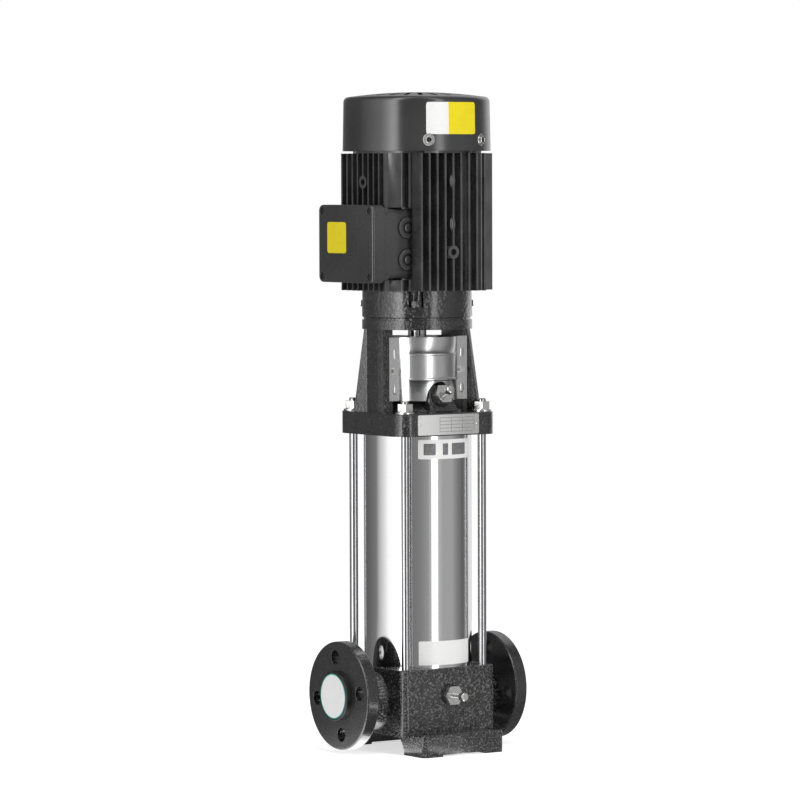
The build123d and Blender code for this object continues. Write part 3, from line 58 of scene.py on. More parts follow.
def new_material(name):
    """An empty node material: the material, its nodes, its links and its shader."""
    material = bpy.data.materials.new(name)
    material.use_nodes = True
    tree = material.node_tree
    return material, tree.nodes, tree.links, tree.nodes["Principled BSDF"]


def add_node(parts, kind, sockets=None, **settings):
    """A shader node of a kind, with settings such as its operation, and a value for each input that is named."""
    node = parts.new("ShaderNode" + kind)
    for setting, value in settings.items():
        setattr(node, setting, value)
    for socket, value in (sockets or {}).items():
        node.inputs[socket].default_value = value
    return node


def two_tones(parts, links, factor, low, high, low_at=0.0, high_at=1.0):
    """A colour that goes from a low to a high one, between two places on a factor."""
    ramp = add_node(parts, "ValToRGB")
    first, last = ramp.color_ramp.elements
    first.position, first.color = low_at, (*low, 1)
    last.position, last.color = high_at, (*high, 1)
    links.new(factor, ramp.inputs["Fac"])
    return ramp.outputs["Color"]


def mix_by_ray(parts, links, ray, other, chosen):
    """The chosen shader where a light ray is of one kind, and the other shader elsewhere."""
    mix = add_node(parts, "MixShader")
    links.new(ray, mix.inputs["Fac"])
    links.new(other, mix.inputs[1])
    links.new(chosen, mix.inputs[2])
    return mix.outputs[0]


def mesh_piece(name, points, faces, material):
    """A smooth mesh object from points and faces, with one material. A corner that a face names twice counts once."""
    corners = [list(dict.fromkeys(map(int, face))) for face in faces]
    mesh = bpy.data.meshes.new(name)
    mesh.from_pydata(np.asarray(points, dtype=float).tolist(), [], corners)
    mesh.update()
    mesh.polygons.foreach_set("use_smooth", np.ones(len(mesh.polygons), dtype=bool))
    piece = bpy.data.objects.new(name, mesh)
    scene.collection.objects.link(piece)
    mesh.materials.append(material)
    return piece


# Each band is a turn in degrees to the right of the photographer's place, as seen from the pump, and a brightness,
# where 1 is white. The bands stand still in every view.
BRIGHTEST = 5.0
STUDIO_BANDS = (
    (-180, 0.35), (-150, 0.12), (-125, 0.16), (-100, 0.24), (-90, 0.60), (-76, 0.95), (-65, 1.30), (-56, 1.70),
    (-47, 2.70), (-38, 4.90), (-31, 4.20), (-27, 0.35), (-22, 0.15), (-12, 0.22), (6, 0.27), (22, 0.38), (29, 0.62),
    (33, 3.6), (40, 3.6), (44, 0.60), (55, 0.45), (78, 0.44), (92, 0.28), (112, 0.14), (126, 0.25), (142, 0.90),
    (160, 0.90), (179, 0.40),
)


def studio_bands(parts, links, place):
    """Light in upright bands around the pump. The angle about the shaft of a place or direction, as a share of a
    full turn, reads its brightness from the ramp of bands."""
    split = add_node(parts, "SeparateXYZ")
    links.new(place, split.inputs[0])
    turn = add_node(parts, "Math", operation="ARCTAN2")
    links.new(split.outputs["Y"], turn.inputs[0])
    links.new(split.outputs["X"], turn.inputs[1])
    share = add_node(parts, "Math", {1: 1 / (2 * math.pi), 2: 0.5}, operation="MULTIPLY_ADD")
    links.new(turn.outputs[0], share.inputs[0])
    photographer = 270.0 - PHOTO_TURN
    stops = sorted(((photographer + degrees + 180.0) % 360.0 / 360.0, level / BRIGHTEST)
                   for degrees, level in STUDIO_BANDS)
    bands = add_node(parts, "ValToRGB")
    ramp = bands.color_ramp
    for element, (place_on_ramp, level) in zip(ramp.elements, (stops[0], stops[-1])):
        element.position, element.color = place_on_ramp, (level, level, level, 1)
    for place_on_ramp, level in stops[1:-1]:
        ramp.elements.new(place_on_ramp).color = (level, level, level, 1)
    links.new(share.outputs[0], bands.inputs["Fac"])
    return bands.outputs["Color"]


# The floor is white paper, which glows a little for the camera so that its far edge meets the white surround.
FLOOR_HALF = 1.35
FLOOR_GLOW = 0.62
PAPER_DARK, PAPER_LIGHT = (0.91, 0.91, 0.91), (0.94, 0.94, 0.94)
paper, paper_parts, paper_links, paper_shader = new_material("studio_paper")
paper_shader.inputs["Roughness"].default_value = 0.9
paper_shader.inputs["Emission Color"].default_value = (1, 1, 1, 1)
paper_noise = add_node(paper_parts, "TexNoise", {"Scale": 3.0})
paper_tone = two_tones(paper_parts, paper_links, paper_noise.outputs["Fac"], PAPER_DARK, PAPER_LIGHT)
paper_links.new(paper_tone, paper_shader.inputs["Base Color"])
paper_ray = add_node(paper_parts, "LightPath")
paper_seen = add_node(paper_parts, "Math", operation="MAXIMUM")
paper_links.new(paper_ray.outputs["Is Camera Ray"], paper_seen.inputs[0])
paper_links.new(paper_ray.outputs["Is Transmission Ray"], paper_seen.inputs[1])
paper_glow = add_node(paper_parts, "Math", {1: FLOOR_GLOW}, operation="MULTIPLY")
paper_links.new(paper_seen.outputs[0], paper_glow.inputs[0])
paper_links.new(paper_glow.outputs[0], paper_shader.inputs["Emission Strength"])
# In shiny faces the floor glows with the studio bands, up to five times white: painted reflections of light.
paper_place = add_node(paper_parts, "TexCoord").outputs["Object"]
floor_painted_reflection = add_node(paper_parts, "Emission", {"Strength": BRIGHTEST})
paper_links.new(studio_bands(paper_parts, paper_links, paper_place), floor_painted_reflection.inputs["Color"])
paper_look = mix_by_ray(paper_parts, paper_links, paper_ray.outputs["Is Glossy Ray"], paper_shader.outputs[0],
                        floor_painted_reflection.outputs[0])
paper_links.new(paper_look, paper_parts["Material Output"].inputs["Surface"])
floor_corners = [(x * FLOOR_HALF, y * FLOOR_HALF, 0.0) for x, y in ((-1, -1), (1, -1), (1, 1), (-1, 1))]
floor = mesh_piece("studio_floor", floor_corners, [(0, 1, 2, 3)], paper)

# The surround is white to the camera, banded to shiny faces, and an even fill of light to all the rest.
SKY_FILL = 0.35
world = bpy.data.worlds.new("studio")
world.use_nodes = True
world.cycles.sampling_method = "NONE"
scene.world = world
sky_parts, sky_links = world.node_tree.nodes, world.node_tree.links
sky_parts.clear()
sky_white, sky_fill = [add_node(sky_parts, "Background", {"Color": (1, 1, 1, 1), "Strength": strength}).outputs[0]
                       for strength in (1.0, SKY_FILL)]
sky_cards = add_node(sky_parts, "Background", {"Strength": BRIGHTEST})
sky_direction = add_node(sky_parts, "TexCoord").outputs["Generated"]
sky_links.new(studio_bands(sky_parts, sky_links, sky_direction), sky_cards.inputs["Color"])
sky_ray = add_node(sky_parts, "LightPath")
sky_unseen = mix_by_ray(sky_parts, sky_links, sky_ray.outputs["Is Glossy Ray"], sky_fill, sky_cards.outputs[0])
sky_look = mix_by_ray(sky_parts, sky_links, sky_ray.outputs["Is Camera Ray"], sky_unseen, sky_white)
sky_links.new(sky_look, add_node(sky_parts, "OutputWorld").inputs["Surface"])


def softbox(name, place, target, size, power):
    """An area lamp at a place, turned toward a target. Shiny faces see the bands instead of it."""
    lamp = bpy.data.lights.new(name, "AREA")
    lamp.shape = "RECTANGLE"
    lamp.size, lamp.size_y = size
    lamp.energy = power
    holder = bpy.data.objects.new(name, lamp)
    holder.location = place
    x, y, z = np.array(target) - np.array(place)
    holder.rotation_euler = (math.atan2(z, math.hypot(x, y)) + math.pi / 2, 0, math.atan2(y, x) - math.pi / 2)
    holder.visible_glossy = False
    scene.collection.objects.link(holder)


softbox("softbox_left", (-2.73, 0.29, 0.9), target=(0, 0, 0.6), size=(0.7, 1.8), power=28)
softbox("softbox_right", (0.27, -2.80, 0.9), target=(0, 0, 0.6), size=(0.45, 1.8), power=44)
softbox("softbox_top", (-0.3, -0.6, 2.6), target=(0, 0, 0.4), size=(1.2, 1.2), power=14)

# The camera stands at the photograph's place: 34 degrees round to the suction side, nearly level with the motor.
AIM = np.array((-0.018, 0.012, 0.453))
VIEW_TURN = math.radians(PHOTO_TURN)
VIEW_DROP = math.radians(2.8)
VIEW_LEAN = math.radians(0.18)
VIEW_DISTANCE = 5.94
LENS = 205.7
away = np.array((-math.sin(VIEW_TURN) * math.cos(VIEW_DROP), -math.cos(VIEW_TURN) * math.cos(VIEW_DROP),
                 math.sin(VIEW_DROP)))
camera_data = bpy.data.cameras.new("camera")
camera_data.lens = LENS
camera_data.sensor_width = 36.0
camera = bpy.data.objects.new("camera", camera_data)
camera.location = AIM + away * VIEW_DISTANCE
camera.rotation_euler = (math.pi / 2 - VIEW_DROP, VIEW_LEAN, -VIEW_TURN)
scene.collection.objects.link(camera)
scene.camera = camera

# The base is grey iron cast in sand and sprayed black. The sand leaves grains of a millimetre or two under the gloss,
# which glitter: partly through their bump and partly through painted glints, grey specks on the grain tops. The
# flanges and the two feet belong to the same casting.
SHARP_FROM = 32.0
ROUNDED_FROM = 40.0
FLAT_WITHIN = 0.6
GRAINS_IN_SWELL = 7
# Painted glints: where the fine grain is high, the colour goes toward this grey, a painted highlight.
GLINT_FROM, GLINT_FULLY = 0.51, 0.72
GLINT_GREY = (0.22, 0.22, 0.215, 1)
COAT_ROUGHNESS = 0.12


def noise_over(parts, links, place, scale, detail):
    """Noise of a scale and a detail over a place."""
    noise = add_node(parts, "TexNoise", {"Scale": scale, "Detail": detail})
    links.new(place, noise.inputs["Vector"])
    return noise.outputs["Fac"]


def gloss_between(parts, links, shader, factor, low, high):
    """Roughness of a shader that goes from a low to a high value with a factor."""
    spread = add_node(parts, "MapRange", {"To Min": low, "To Max": high})
    links.new(factor, spread.inputs["Value"])
    links.new(spread.outputs["Result"], shader.inputs["Roughness"])


def bump_by(parts, links, shader, height, distance):
    """Bump of a shader by a height, where a height of 1 stands for the distance."""
    bump = add_node(parts, "Bump", {"Distance": distance})
    links.new(height, bump.inputs["Height"])
    links.new(bump.outputs["Normal"], shader.inputs["Normal"])


def cast_paint(name, colour, grain, depth, gloss, coat, painted_glint=0.0):
    """Black paint on a casting: a fine grain and a coarse swell under it as bump, and gloss that varies a little.
    The painted glint is a grey mixed into the colour on the tops of the fine grain: painted highlights that stand
    in for the light the grains catch."""
    material, parts, links, shader = new_material(name)
    place = add_node(parts, "TexCoord").outputs["Object"]
    fine = noise_over(parts, links, place, grain, 1.0)
    swell = noise_over(parts, links, place, grain / GRAINS_IN_SWELL, 1.0)
    both = add_node(parts, "Math", operation="ADD")
    links.new(fine, both.inputs[0])
    links.new(swell, both.inputs[1])
    bump_by(parts, links, shader, both.outputs[0], depth)
    low, high = (colour * 0.75, colour * 0.75, colour * 0.78), (colour * 1.5,) * 3
    # Painted highlight: the grain tops are lifted toward the grey to paint glints.
    glint_spots = add_node(parts, "MapRange", {"From Min": GLINT_FROM, "From Max": GLINT_FULLY, "To Max": painted_glint})
    links.new(fine, glint_spots.inputs["Value"])
    lit = add_node(parts, "Mix", {"B": GLINT_GREY}, data_type="RGBA")
    links.new(glint_spots.outputs["Result"], lit.inputs["Factor"])
    links.new(two_tones(parts, links, swell, low, high, 0.3, 0.75), lit.inputs["A"])
    links.new(lit.outputs["Result"], shader.inputs["Base Color"])
    gloss_between(parts, links, shader, fine, gloss - 0.06, gloss + 0.08)
    shader.inputs["Coat Weight"].default_value = coat
    shader.inputs["Coat Roughness"].default_value = COAT_ROUGHNESS
    return material


def finished_copy(node_name, material, body=FIXED, round_edge=0.0):
    """A copy of a CAD node with its doubles merged, flat faces joined, round faces smooth and edges rounded."""
    work = bmesh.new()
    work.from_mesh(nodes[node_name].data)
    bmesh.ops.remove_doubles(work, verts=work.verts, dist=1e-6)
    bmesh.ops.dissolve_limit(work, angle_limit=math.radians(FLAT_WITHIN), verts=work.verts, edges=work.edges)
    mesh = bpy.data.meshes.new(node_name + "_finish")
    work.to_mesh(mesh)
    work.free()
    mesh.materials.clear()
    mesh.materials.append(material)
    mesh.polygons.foreach_set("material_index", np.zeros(len(mesh.polygons), dtype=np.int32))
    mesh.polygons.foreach_set("use_smooth", np.ones(len(mesh.polygons), dtype=bool))
    mesh.set_sharp_from_angle(angle=math.radians(SHARP_FROM))
    piece = bpy.data.objects.new(node_name + "_finish", mesh)
    scene.collection.objects.link(piece)
    if round_edge:
        bevel = piece.modifiers.new("round_edge", "BEVEL")
        bevel.width = round_edge
        bevel.segments = 2
        bevel.limit_method = "ANGLE"
        bevel.angle_limit = math.radians(ROUNDED_FROM)
        bevel.use_clamp_overlap = True
        bevel.harden_normals = True
    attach(piece, body)
    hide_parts(node_name)


rough_iron = cast_paint("rough_cast_black", colour=0.008, grain=430.0, depth=0.0017, gloss=0.15, coat=0.8,
                        painted_glint=0.60)
finished_copy("base", rough_iron, round_edge=0.6 * MM)
flange_iron = cast_paint("flange_black", colour=0.015, grain=360.0, depth=0.0006, gloss=0.18, coat=0.7,
                         painted_glint=0.10)
for flange in ("suction_flange", "discharge_flange"):
    finished_copy(flange, flange_iron, round_edge=0.6 * MM)

# Each port is closed by a push-in cap of black plastic with a soft domed rim. A round label with a thin green edge
# is stuck in the shallow dish of its face, and the label is otherwise bare.
PORT_FACE_X = 125 * MM
CAP_BORE = 15.9 * MM
CAP_WALL = 2 * MM
CAP_RIM = 2.2 * MM
CAP_DRAFT = 0.3 * MM
DISH_DEPTH = 0.5 * MM
DISC_RADIUS = 29 * MM
DISC_EDGE = 1.3 * MM
DISC_THICK = 0.35 * MM


def flat_finish(name, colour, roughness, mottle=0.06, grain=90.0, bump=0.00005, metallic=0.0):
    """Plastic, print or paper: one colour that varies a little, with a faint grain."""
    material, parts, links, shader = new_material(name)
    noise = noise_over(parts, links, add_node(parts, "TexCoord").outputs["Object"], grain, 5.0)
    low = [c * (1 - mottle) for c in colour]
    high = [min(1.0, c * (1 + mottle)) for c in colour]
    links.new(two_tones(parts, links, noise, low, high, 0.3, 0.7), shader.inputs["Base Color"])
    bump_by(parts, links, shader, noise, bump)
    gloss_between(parts, links, shader, noise, max(0.02, roughness - 0.05), roughness + 0.06)
    shader.inputs["Metallic"].default_value = metallic
    return material


def grid_faces(rows, columns, closed=False):
    """Quads that join neighbouring rows and columns of a grid of points. Closed joins the last column to the
    first."""
    across = columns if closed else columns - 1
    row, column = np.meshgrid(np.arange(rows - 1), np.arange(across), indexing="ij")
    beside = (column + 1) % columns
    quads = np.stack([row * columns + column, row * columns + beside, (row + 1) * columns + beside,
                      (row + 1) * columns + column], axis=-1)
    return quads.reshape(-1, 4)


def place_points(points, matrix):
    """Points turned and moved by a 3 by 4 array: three axis columns and the place of the origin."""
    matrix = np.asarray(matrix, dtype=float)
    return points @ matrix[:, :3].T + matrix[:, 3]


def turned_grid(profile, steps=96, matrix=np.eye(3, 4)):
    """Points and faces of a profile of (radius, height) pairs carried once round an axis and placed by a matrix:
    x is the radius times the cosine of the turn, y the radius times its sine, and z the height. A radius of
    nought closes the shape with one point."""
    profile = np.asarray(profile, dtype=float)
    turn = np.linspace(0, 2 * np.pi, steps, endpoint=False)
    ring = np.stack([np.cos(turn), np.sin(turn)], axis=1)
    flat = profile[:, 0][:, None, None] * ring
    high = np.broadcast_to(profile[:, 1][:, None, None], (len(profile), steps, 1))
    points = np.concatenate([flat, high], axis=2).reshape(-1, 3)
    return place_points(points, matrix), grid_faces(len(profile), steps, closed=True)


def joined_piece(name, grids, material, crease=35.0):
    """One mesh object from several grids of points and faces, numbered on from one grid to the next. Points that lie
    together are merged, the faces turn outwards, and edges sharper than the crease stay sharp."""
    starts = np.cumsum([0] + [len(points) for points, _ in grids])
    points = np.concatenate([points for points, _ in grids])
    faces = np.concatenate([faces + start for (_, faces), start in zip(grids, starts)])
    piece = mesh_piece(name, points, faces, material)
    work = bmesh.new()
    work.from_mesh(piece.data)
    bmesh.ops.remove_doubles(work, verts=work.verts, dist=1e-7)
    bmesh.ops.dissolve_degenerate(work, edges=work.edges, dist=1e-8)
    bmesh.ops.recalc_face_normals(work, faces=work.faces)
    work.to_mesh(piece.data)
    work.free()
    piece.data.set_sharp_from_angle(angle=math.radians(crease))
    return piece


def arc_points(centre, radius, start, end, count):
    """Points on an arc in a profile, from a start to an end angle in degrees."""
    turn = np.radians(np.linspace(start, end, count))
    return [(centre[0] + radius * math.cos(t), centre[1] + radius * math.sin(t)) for t in turn]


cap_plastic = flat_finish("cap_plastic", (0.012, 0.012, 0.013), 0.42, mottle=0.2, grain=260.0, bump=0.00012)
disc_white = flat_finish("cap_disc_white", (0.86, 0.87, 0.86), 0.35, mottle=0.02)
disc_green = flat_finish("cap_disc_green", (0.03, 0.42, 0.34), 0.35, mottle=0.05)
for cap, body, out in (("port_cap_suction", "suction_cap", -1), ("port_cap_discharge", "discharge_cap", 1)):
    low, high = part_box(cap)
    radius = (high.y - low.y) / 2
    thick = abs((low.x if out < 0 else high.x) - out * PORT_FACE_X)
    spigot = (high.x - low.x) - thick
    dish = thick - DISH_DEPTH
    to_face = [[0, 0, out, out * PORT_FACE_X], [out, 0, 0, 0], [0, 1, 0, (high.z + low.z) / 2]]
    side = radius - CAP_DRAFT
    moulding = [(CAP_BORE - CAP_WALL, -spigot * 0.1), (CAP_BORE - CAP_WALL, -spigot), (CAP_BORE, -spigot),
                (CAP_BORE, 0), (radius, 0), (side, thick - CAP_RIM)]
    moulding += arc_points((side - CAP_RIM, thick - CAP_RIM), CAP_RIM, 0, 90, 8)
    moulding += [(DISC_RADIUS + 0.8 * MM, thick), (DISC_RADIUS + 0.5 * MM, dish), (0, dish)]
    cap_piece = joined_piece(cap + "_moulding", [turned_grid(moulding, matrix=to_face)], cap_plastic)
    inner, raised = DISC_RADIUS - DISC_EDGE, dish + DISC_THICK + 0.02 * MM
    edge = [(0, dish), (DISC_RADIUS, dish), (DISC_RADIUS, dish + DISC_THICK), (inner, raised)]
    edge_piece = joined_piece(cap + "_label_edge", [turned_grid(edge, matrix=to_face)], disc_green)
    face = [(inner, raised), (DISC_RADIUS / 2, raised + 0.10 * MM), (0, raised + 0.13 * MM)]
    white_piece = joined_piece(cap + "_label_face", [turned_grid(face, matrix=to_face)], disc_white)
    for piece in (cap_piece, edge_piece, white_piece):
        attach(piece, body)
    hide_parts(cap)

# The drain plug and the vent plug are zinc-plated hexagon plugs, screwed in on dark sealing washers. A small bleed
# screw with a knurled knob runs through each of them.


def plated_steel(name, colour, roughness, grain=300.0):
    """Bright zinc over turned steel: a cool metal with faint patches in its gloss and colour."""
    material, parts, links, shader = new_material(name)
    patch = noise_over(parts, links, add_node(parts, "TexCoord").outputs["Object"], grain, 4.0)
    links.new(two_tones(parts, links, patch, [c * 0.86 for c in colour], colour, 0.35, 0.7),
              shader.inputs["Base Color"])
    gloss_between(parts, links, shader, patch, max(0.04, roughness - 0.08), roughness + 0.1)
    bump_by(parts, links, shader, patch, 0.000006)
    shader.inputs["Metallic"].default_value = 1.0
    return material


zinc = plated_steel("zinc_plate", (0.80, 0.80, 0.79), 0.20)
rubber = flat_finish("seal_rubber", (0.014, 0.014, 0.014), 0.6, mottle=0.2, grain=400.0, bump=0.0001)
for plug_name in ("drain_plug", "vent_plug"):
    finished_copy(plug_name, zinc, round_edge=0.4 * MM)
finished_copy("plug_washers", rubber, round_edge=0.3 * MM)
for screw_name, screw_body in (("drain_screw", "drain_stem"), ("vent_screw", "vent_stem")):
    finished_copy(screw_name, zinc, body=screw_body, round_edge=0.3 * MM)

# The outer sleeve is a drawn stainless tube with a mirror polish, clamped between base and head. Fine rings from the
# polishing wheel run round it, and two plain labels are stuck on the side that faces the front.
SLEEVE_WALL = 1.5 * MM
SLEEVE_LIP = 0.4 * MM
FRONT = -math.pi / 2
LABEL_THICK = 0.15 * MM
PRINT_THICK = 0.19 * MM
LABEL_HALF = 41 * MM
LABEL_CORNER = 1 * MM


def polished_metal(name, colour, roughness, ring_scale, ring_depth):
    """Polished steel with hair-fine rings, which are noise drawn out level, and faint clouds in the gloss."""
    material, parts, links, shader = new_material(name)
    place = add_node(parts, "TexCoord").outputs["Object"]
    squeeze = add_node(parts, "Mapping", {"Scale": (1.5, 1.5, ring_scale)})
    links.new(place, squeeze.inputs["Vector"])
    rings = noise_over(parts, links, squeeze.outputs["Vector"], 1.0, 6.0)
    cloud = noise_over(parts, links, place, 14.0, 3.0)
    gloss_between(parts, links, shader, cloud, max(0.015, roughness - 0.03), roughness + 0.05)
    bump_by(parts, links, shader, rings, ring_depth)
    links.new(two_tones(parts, links, rings, [c * 0.93 for c in colour], colour), shader.inputs["Base Color"])
    shader.inputs["Metallic"].default_value = 1.0
    return material


def wrapped_label(name, radii, middle_turn, half_width, low_z, high_z, thick, corner, material):
    """A thin label bent round an upright cylinder or cone: the turn is the way along the label over the radius,
    and the radius goes evenly from its lower to its upper value. The outline is a rectangle whose corners are
    pulled in to a circle, and its edges come down to the surface, so it lies there like a sticker."""
    u, v = np.meshgrid(np.linspace(-1, 1, 33), np.linspace(-1, 1, 15), indexing="ij")
    half_height = (high_z - low_z) / 2
    inner_u, inner_v = half_width - corner, half_height - corner
    along, rise = u * half_width, v * half_height
    over_u = np.maximum(np.abs(along) - inner_u, 0)
    over_v = np.maximum(np.abs(rise) - inner_v, 0)
    reach = np.hypot(over_u, over_v)
    pull = np.where(reach > corner, corner / np.maximum(reach, 1e-9), 1.0)
    along = np.sign(along) * (np.minimum(np.abs(along), inner_u) + over_u * pull)
    rise = np.sign(rise) * (np.minimum(np.abs(rise), inner_v) + over_v * pull)
    radius = radii[0] + (radii[1] - radii[0]) * (rise + half_height) / (2 * half_height)
    turn = middle_turn + along / radii[0]
    height = (low_z + high_z) / 2 + rise
    points = np.concatenate([
        np.stack([(radius + lift) * np.cos(turn), (radius + lift) * np.sin(turn), height], axis=-1).reshape(-1, 3)
        for lift in (thick, 0.01 * MM)])
    rows, columns = u.shape
    count = rows * columns
    rim = np.concatenate([np.arange(0, columns), np.arange(2 * columns - 1, count, columns),
                          np.arange(count - 2, count - columns - 1, -1),
                          np.arange(count - 2 * columns, 0, -columns)])
    following = np.roll(rim, -1)
    sides = np.stack([rim, following, following + count, rim + count], axis=1)
    piece = joined_piece(name, [(points, np.concatenate([grid_faces(rows, columns), sides]))], material, crease=30)
    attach(piece, FIXED)
    return piece


mirror_steel = polished_metal("sleeve_mirror_steel", (0.78, 0.78, 0.785), 0.06, ring_scale=900.0,
                              ring_depth=0.000003)
sleeve_low, sleeve_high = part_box("outer_sleeve")
sleeve_radius = (sleeve_high.x - sleeve_low.x) / 2
sleeve_bore = sleeve_radius - SLEEVE_WALL
tube = [(sleeve_bore, sleeve_low.z), (sleeve_radius - SLEEVE_LIP, sleeve_low.z),
        (sleeve_radius, sleeve_low.z + SLEEVE_LIP)]
tube += [(sleeve_radius, z) for z in np.linspace(sleeve_low.z + 1 * MM, sleeve_high.z - 1 * MM, 12)]
tube += [(sleeve_radius, sleeve_high.z - SLEEVE_LIP), (sleeve_radius - SLEEVE_LIP, sleeve_high.z),
         (sleeve_bore, sleeve_high.z), (sleeve_bore, sleeve_low.z)]
sleeve_tube = joined_piece("outer_sleeve_tube", [turned_grid(tube, steps=192)], mirror_steel)
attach(sleeve_tube, FIXED)
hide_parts("outer_sleeve")

label_white = flat_finish("label_white", (0.82, 0.82, 0.81), 0.32, mottle=0.015, grain=200.0, bump=0.00001)
label_grey = flat_finish("label_grey_print", (0.16, 0.16, 0.165), 0.4, mottle=0.3, grain=260.0, bump=0.00001)
sleeve_radii = (sleeve_radius, sleeve_radius)
for label_name, label_low, label_high in (("lower", 114 * MM, 145 * MM), ("upper", 380 * MM, 405 * MM)):
    wrapped_label("sleeve_label_" + label_name, sleeve_radii, FRONT, LABEL_HALF, label_low, label_high, LABEL_THICK,
                  LABEL_CORNER, label_white)
# The upper label carries three plain grey fields with nothing in them.
for number, (middle, half) in enumerate(((-26 * MM, 8 * MM), (-4 * MM, 4 * MM), (19 * MM, 13 * MM))):
    wrapped_label(f"sleeve_label_field_{number}", sleeve_radii, FRONT + middle / sleeve_radius, half, 385 * MM,
                  400 * MM, PRINT_THICK, LABEL_CORNER, label_grey)

# Four staybolts clamp the sleeve between base and head. They are bright steel rods with rolled threads at the top,
# each with a chamfered nut on a plain washer.
rod_steel = plated_steel("staybolt_steel", (0.46, 0.46, 0.47), 0.12, grain=120.0)
finished_copy("staybolts", rod_steel)
finished_copy("staybolt_nuts", zinc, round_edge=0.3 * MM)
finished_copy("staybolt_washers", zinc, round_edge=0.3 * MM)

# The pump head is a smoother casting than the base, with the vent boss on its front. Like the stool above it, it is
# sprayed in thick gloss black.
gloss_iron = cast_paint("gloss_cast_black", colour=0.012, grain=380.0, depth=0.0010, gloss=0.15, coat=0.8,
                        painted_glint=0.16)
finished_copy("pump_head", gloss_iron, round_edge=0.8 * MM)

# The motor stool is one casting that stands on the head: a plate, two legs with gussets, and the ring that the motor
# is bolted to.
finished_copy("motor_stool", gloss_iron, round_edge=0.9 * MM)

# A thin brushed plate is riveted to the front of the casting with a pin at each end. It carries no text, only the
# thin ruled lines of empty fields. Its metal fades to a paler, less mirroring tone toward the left: a painted sheen
# that makes the left end brighter than the right.
PIN_INSET = 3.2 * MM
PIN_RADIUS = 1.4 * MM
PIN_HIGH = 0.8 * MM
RULE_HALF = 0.25 * MM
RULE_DEEP = 0.06 * MM


def box_grid(low, high):
    """The eight corners of an upright box between two corners, and its six faces, each turned outwards."""
    x, y, z = np.meshgrid((low[0], high[0]), (low[1], high[1]), (low[2], high[2]), indexing="ij")
    points = np.stack([x.ravel(), y.ravel(), z.ravel()], axis=1)
    faces = np.array([[0, 1, 3, 2], [4, 6, 7, 5], [0, 4, 5, 1], [2, 3, 7, 6], [0, 2, 6, 4], [1, 5, 7, 3]])
    return points, faces


plate_low, plate_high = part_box("name_plate")
plate_metal = polished_metal("brushed_plate", (0.84, 0.84, 0.83), 0.27, ring_scale=700.0, ring_depth=0.00001)
plate_parts, plate_links = plate_metal.node_tree.nodes, plate_metal.node_tree.links
plate_split = add_node(plate_parts, "SeparateXYZ")
plate_links.new(add_node(plate_parts, "TexCoord").outputs["Object"], plate_split.inputs[0])
# Painted sheen: less metal on the left makes that end pale and bright, as the light falling there would.
plate_painted_sheen = add_node(plate_parts, "MapRange", {"From Min": plate_low.x + 16 * MM,
                                                "From Max": plate_high.x - 20 * MM, "To Min": 0.45, "To Max": 1.0})
plate_links.new(plate_split.outputs["X"], plate_painted_sheen.inputs["Value"])
plate_links.new(plate_painted_sheen.outputs["Result"], plate_parts["Principled BSDF"].inputs["Metallic"])
finished_copy("name_plate", plate_metal, round_edge=0.1 * MM)
pin_profile = [(0, -0.1 * MM), (PIN_RADIUS, -0.1 * MM)]
pin_profile += arc_points((0.5 * MM, -0.1 * MM), PIN_RADIUS - 0.5 * MM, 0, 90, 5) + [(0, PIN_HIGH)]
for side, pin_x in (("left", plate_low.x + PIN_INSET), ("right", plate_high.x - PIN_INSET)):
    pin_matrix = [[1, 0, 0, pin_x], [0, 0, -1, plate_low.y], [0, 1, 0, (plate_low.z + plate_high.z) / 2]]
    pin = joined_piece("plate_pin_" + side, [turned_grid(pin_profile, 20, pin_matrix)], zinc)
    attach(pin, FIXED)
rule_left, rule_right = plate_low.x + 34 * MM, plate_high.x - 8 * MM
rule_bottom, rule_top = plate_low.z + 4 * MM, plate_high.z - 4 * MM
rule_front = plate_low.y - RULE_DEEP
rules = [box_grid((rule_left, rule_front, z - RULE_HALF), (rule_right, plate_low.y, z + RULE_HALF))
         for z in np.linspace(rule_bottom, rule_top, 5)]
rules += [box_grid((x - RULE_HALF, rule_front, rule_bottom), (x + RULE_HALF, plate_low.y, rule_top))
          for x in np.linspace(rule_left, rule_right, 4)]
ruled_lines = joined_piece("name_plate_rules", rules, label_grey)
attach(ruled_lines, FIXED)

# Shaft parts that show between the guards and through the stool: machined steel halves of the coupling, clamped round
# the two shafts by their cap screws, and the seal gland under them.
turned_steel = polished_metal("turned_steel", (0.66, 0.66, 0.665), 0.22, ring_scale=1500.0, ring_depth=0.00001)
for part_name in ("coupling_half_left", "coupling_half_right"):
    finished_copy(part_name, turned_steel, body="rotor", round_edge=0.3 * MM)
for part_name in ("coupling_screws", "coupling_pin", "motor_shaft", "pump_shaft"):
    finished_copy(part_name, turned_steel, body="rotor")
finished_copy("seal_gland", turned_steel, round_edge=0.3 * MM)
finished_copy("gland_screws", zinc)

# The two coupling guards are pressed from thin stainless sheet: a round panel with two beads and a flat edge on each
# side, held to the stool legs by one screw a side. The front one is cut out over the vent boss. Two dimples above and
# below each screw stiffen the edge.
DIMPLE_RISES = (-24 * MM, 22 * MM)
DIMPLE_HALF = (3.4 * MM, 1.2 * MM, 6.5 * MM)


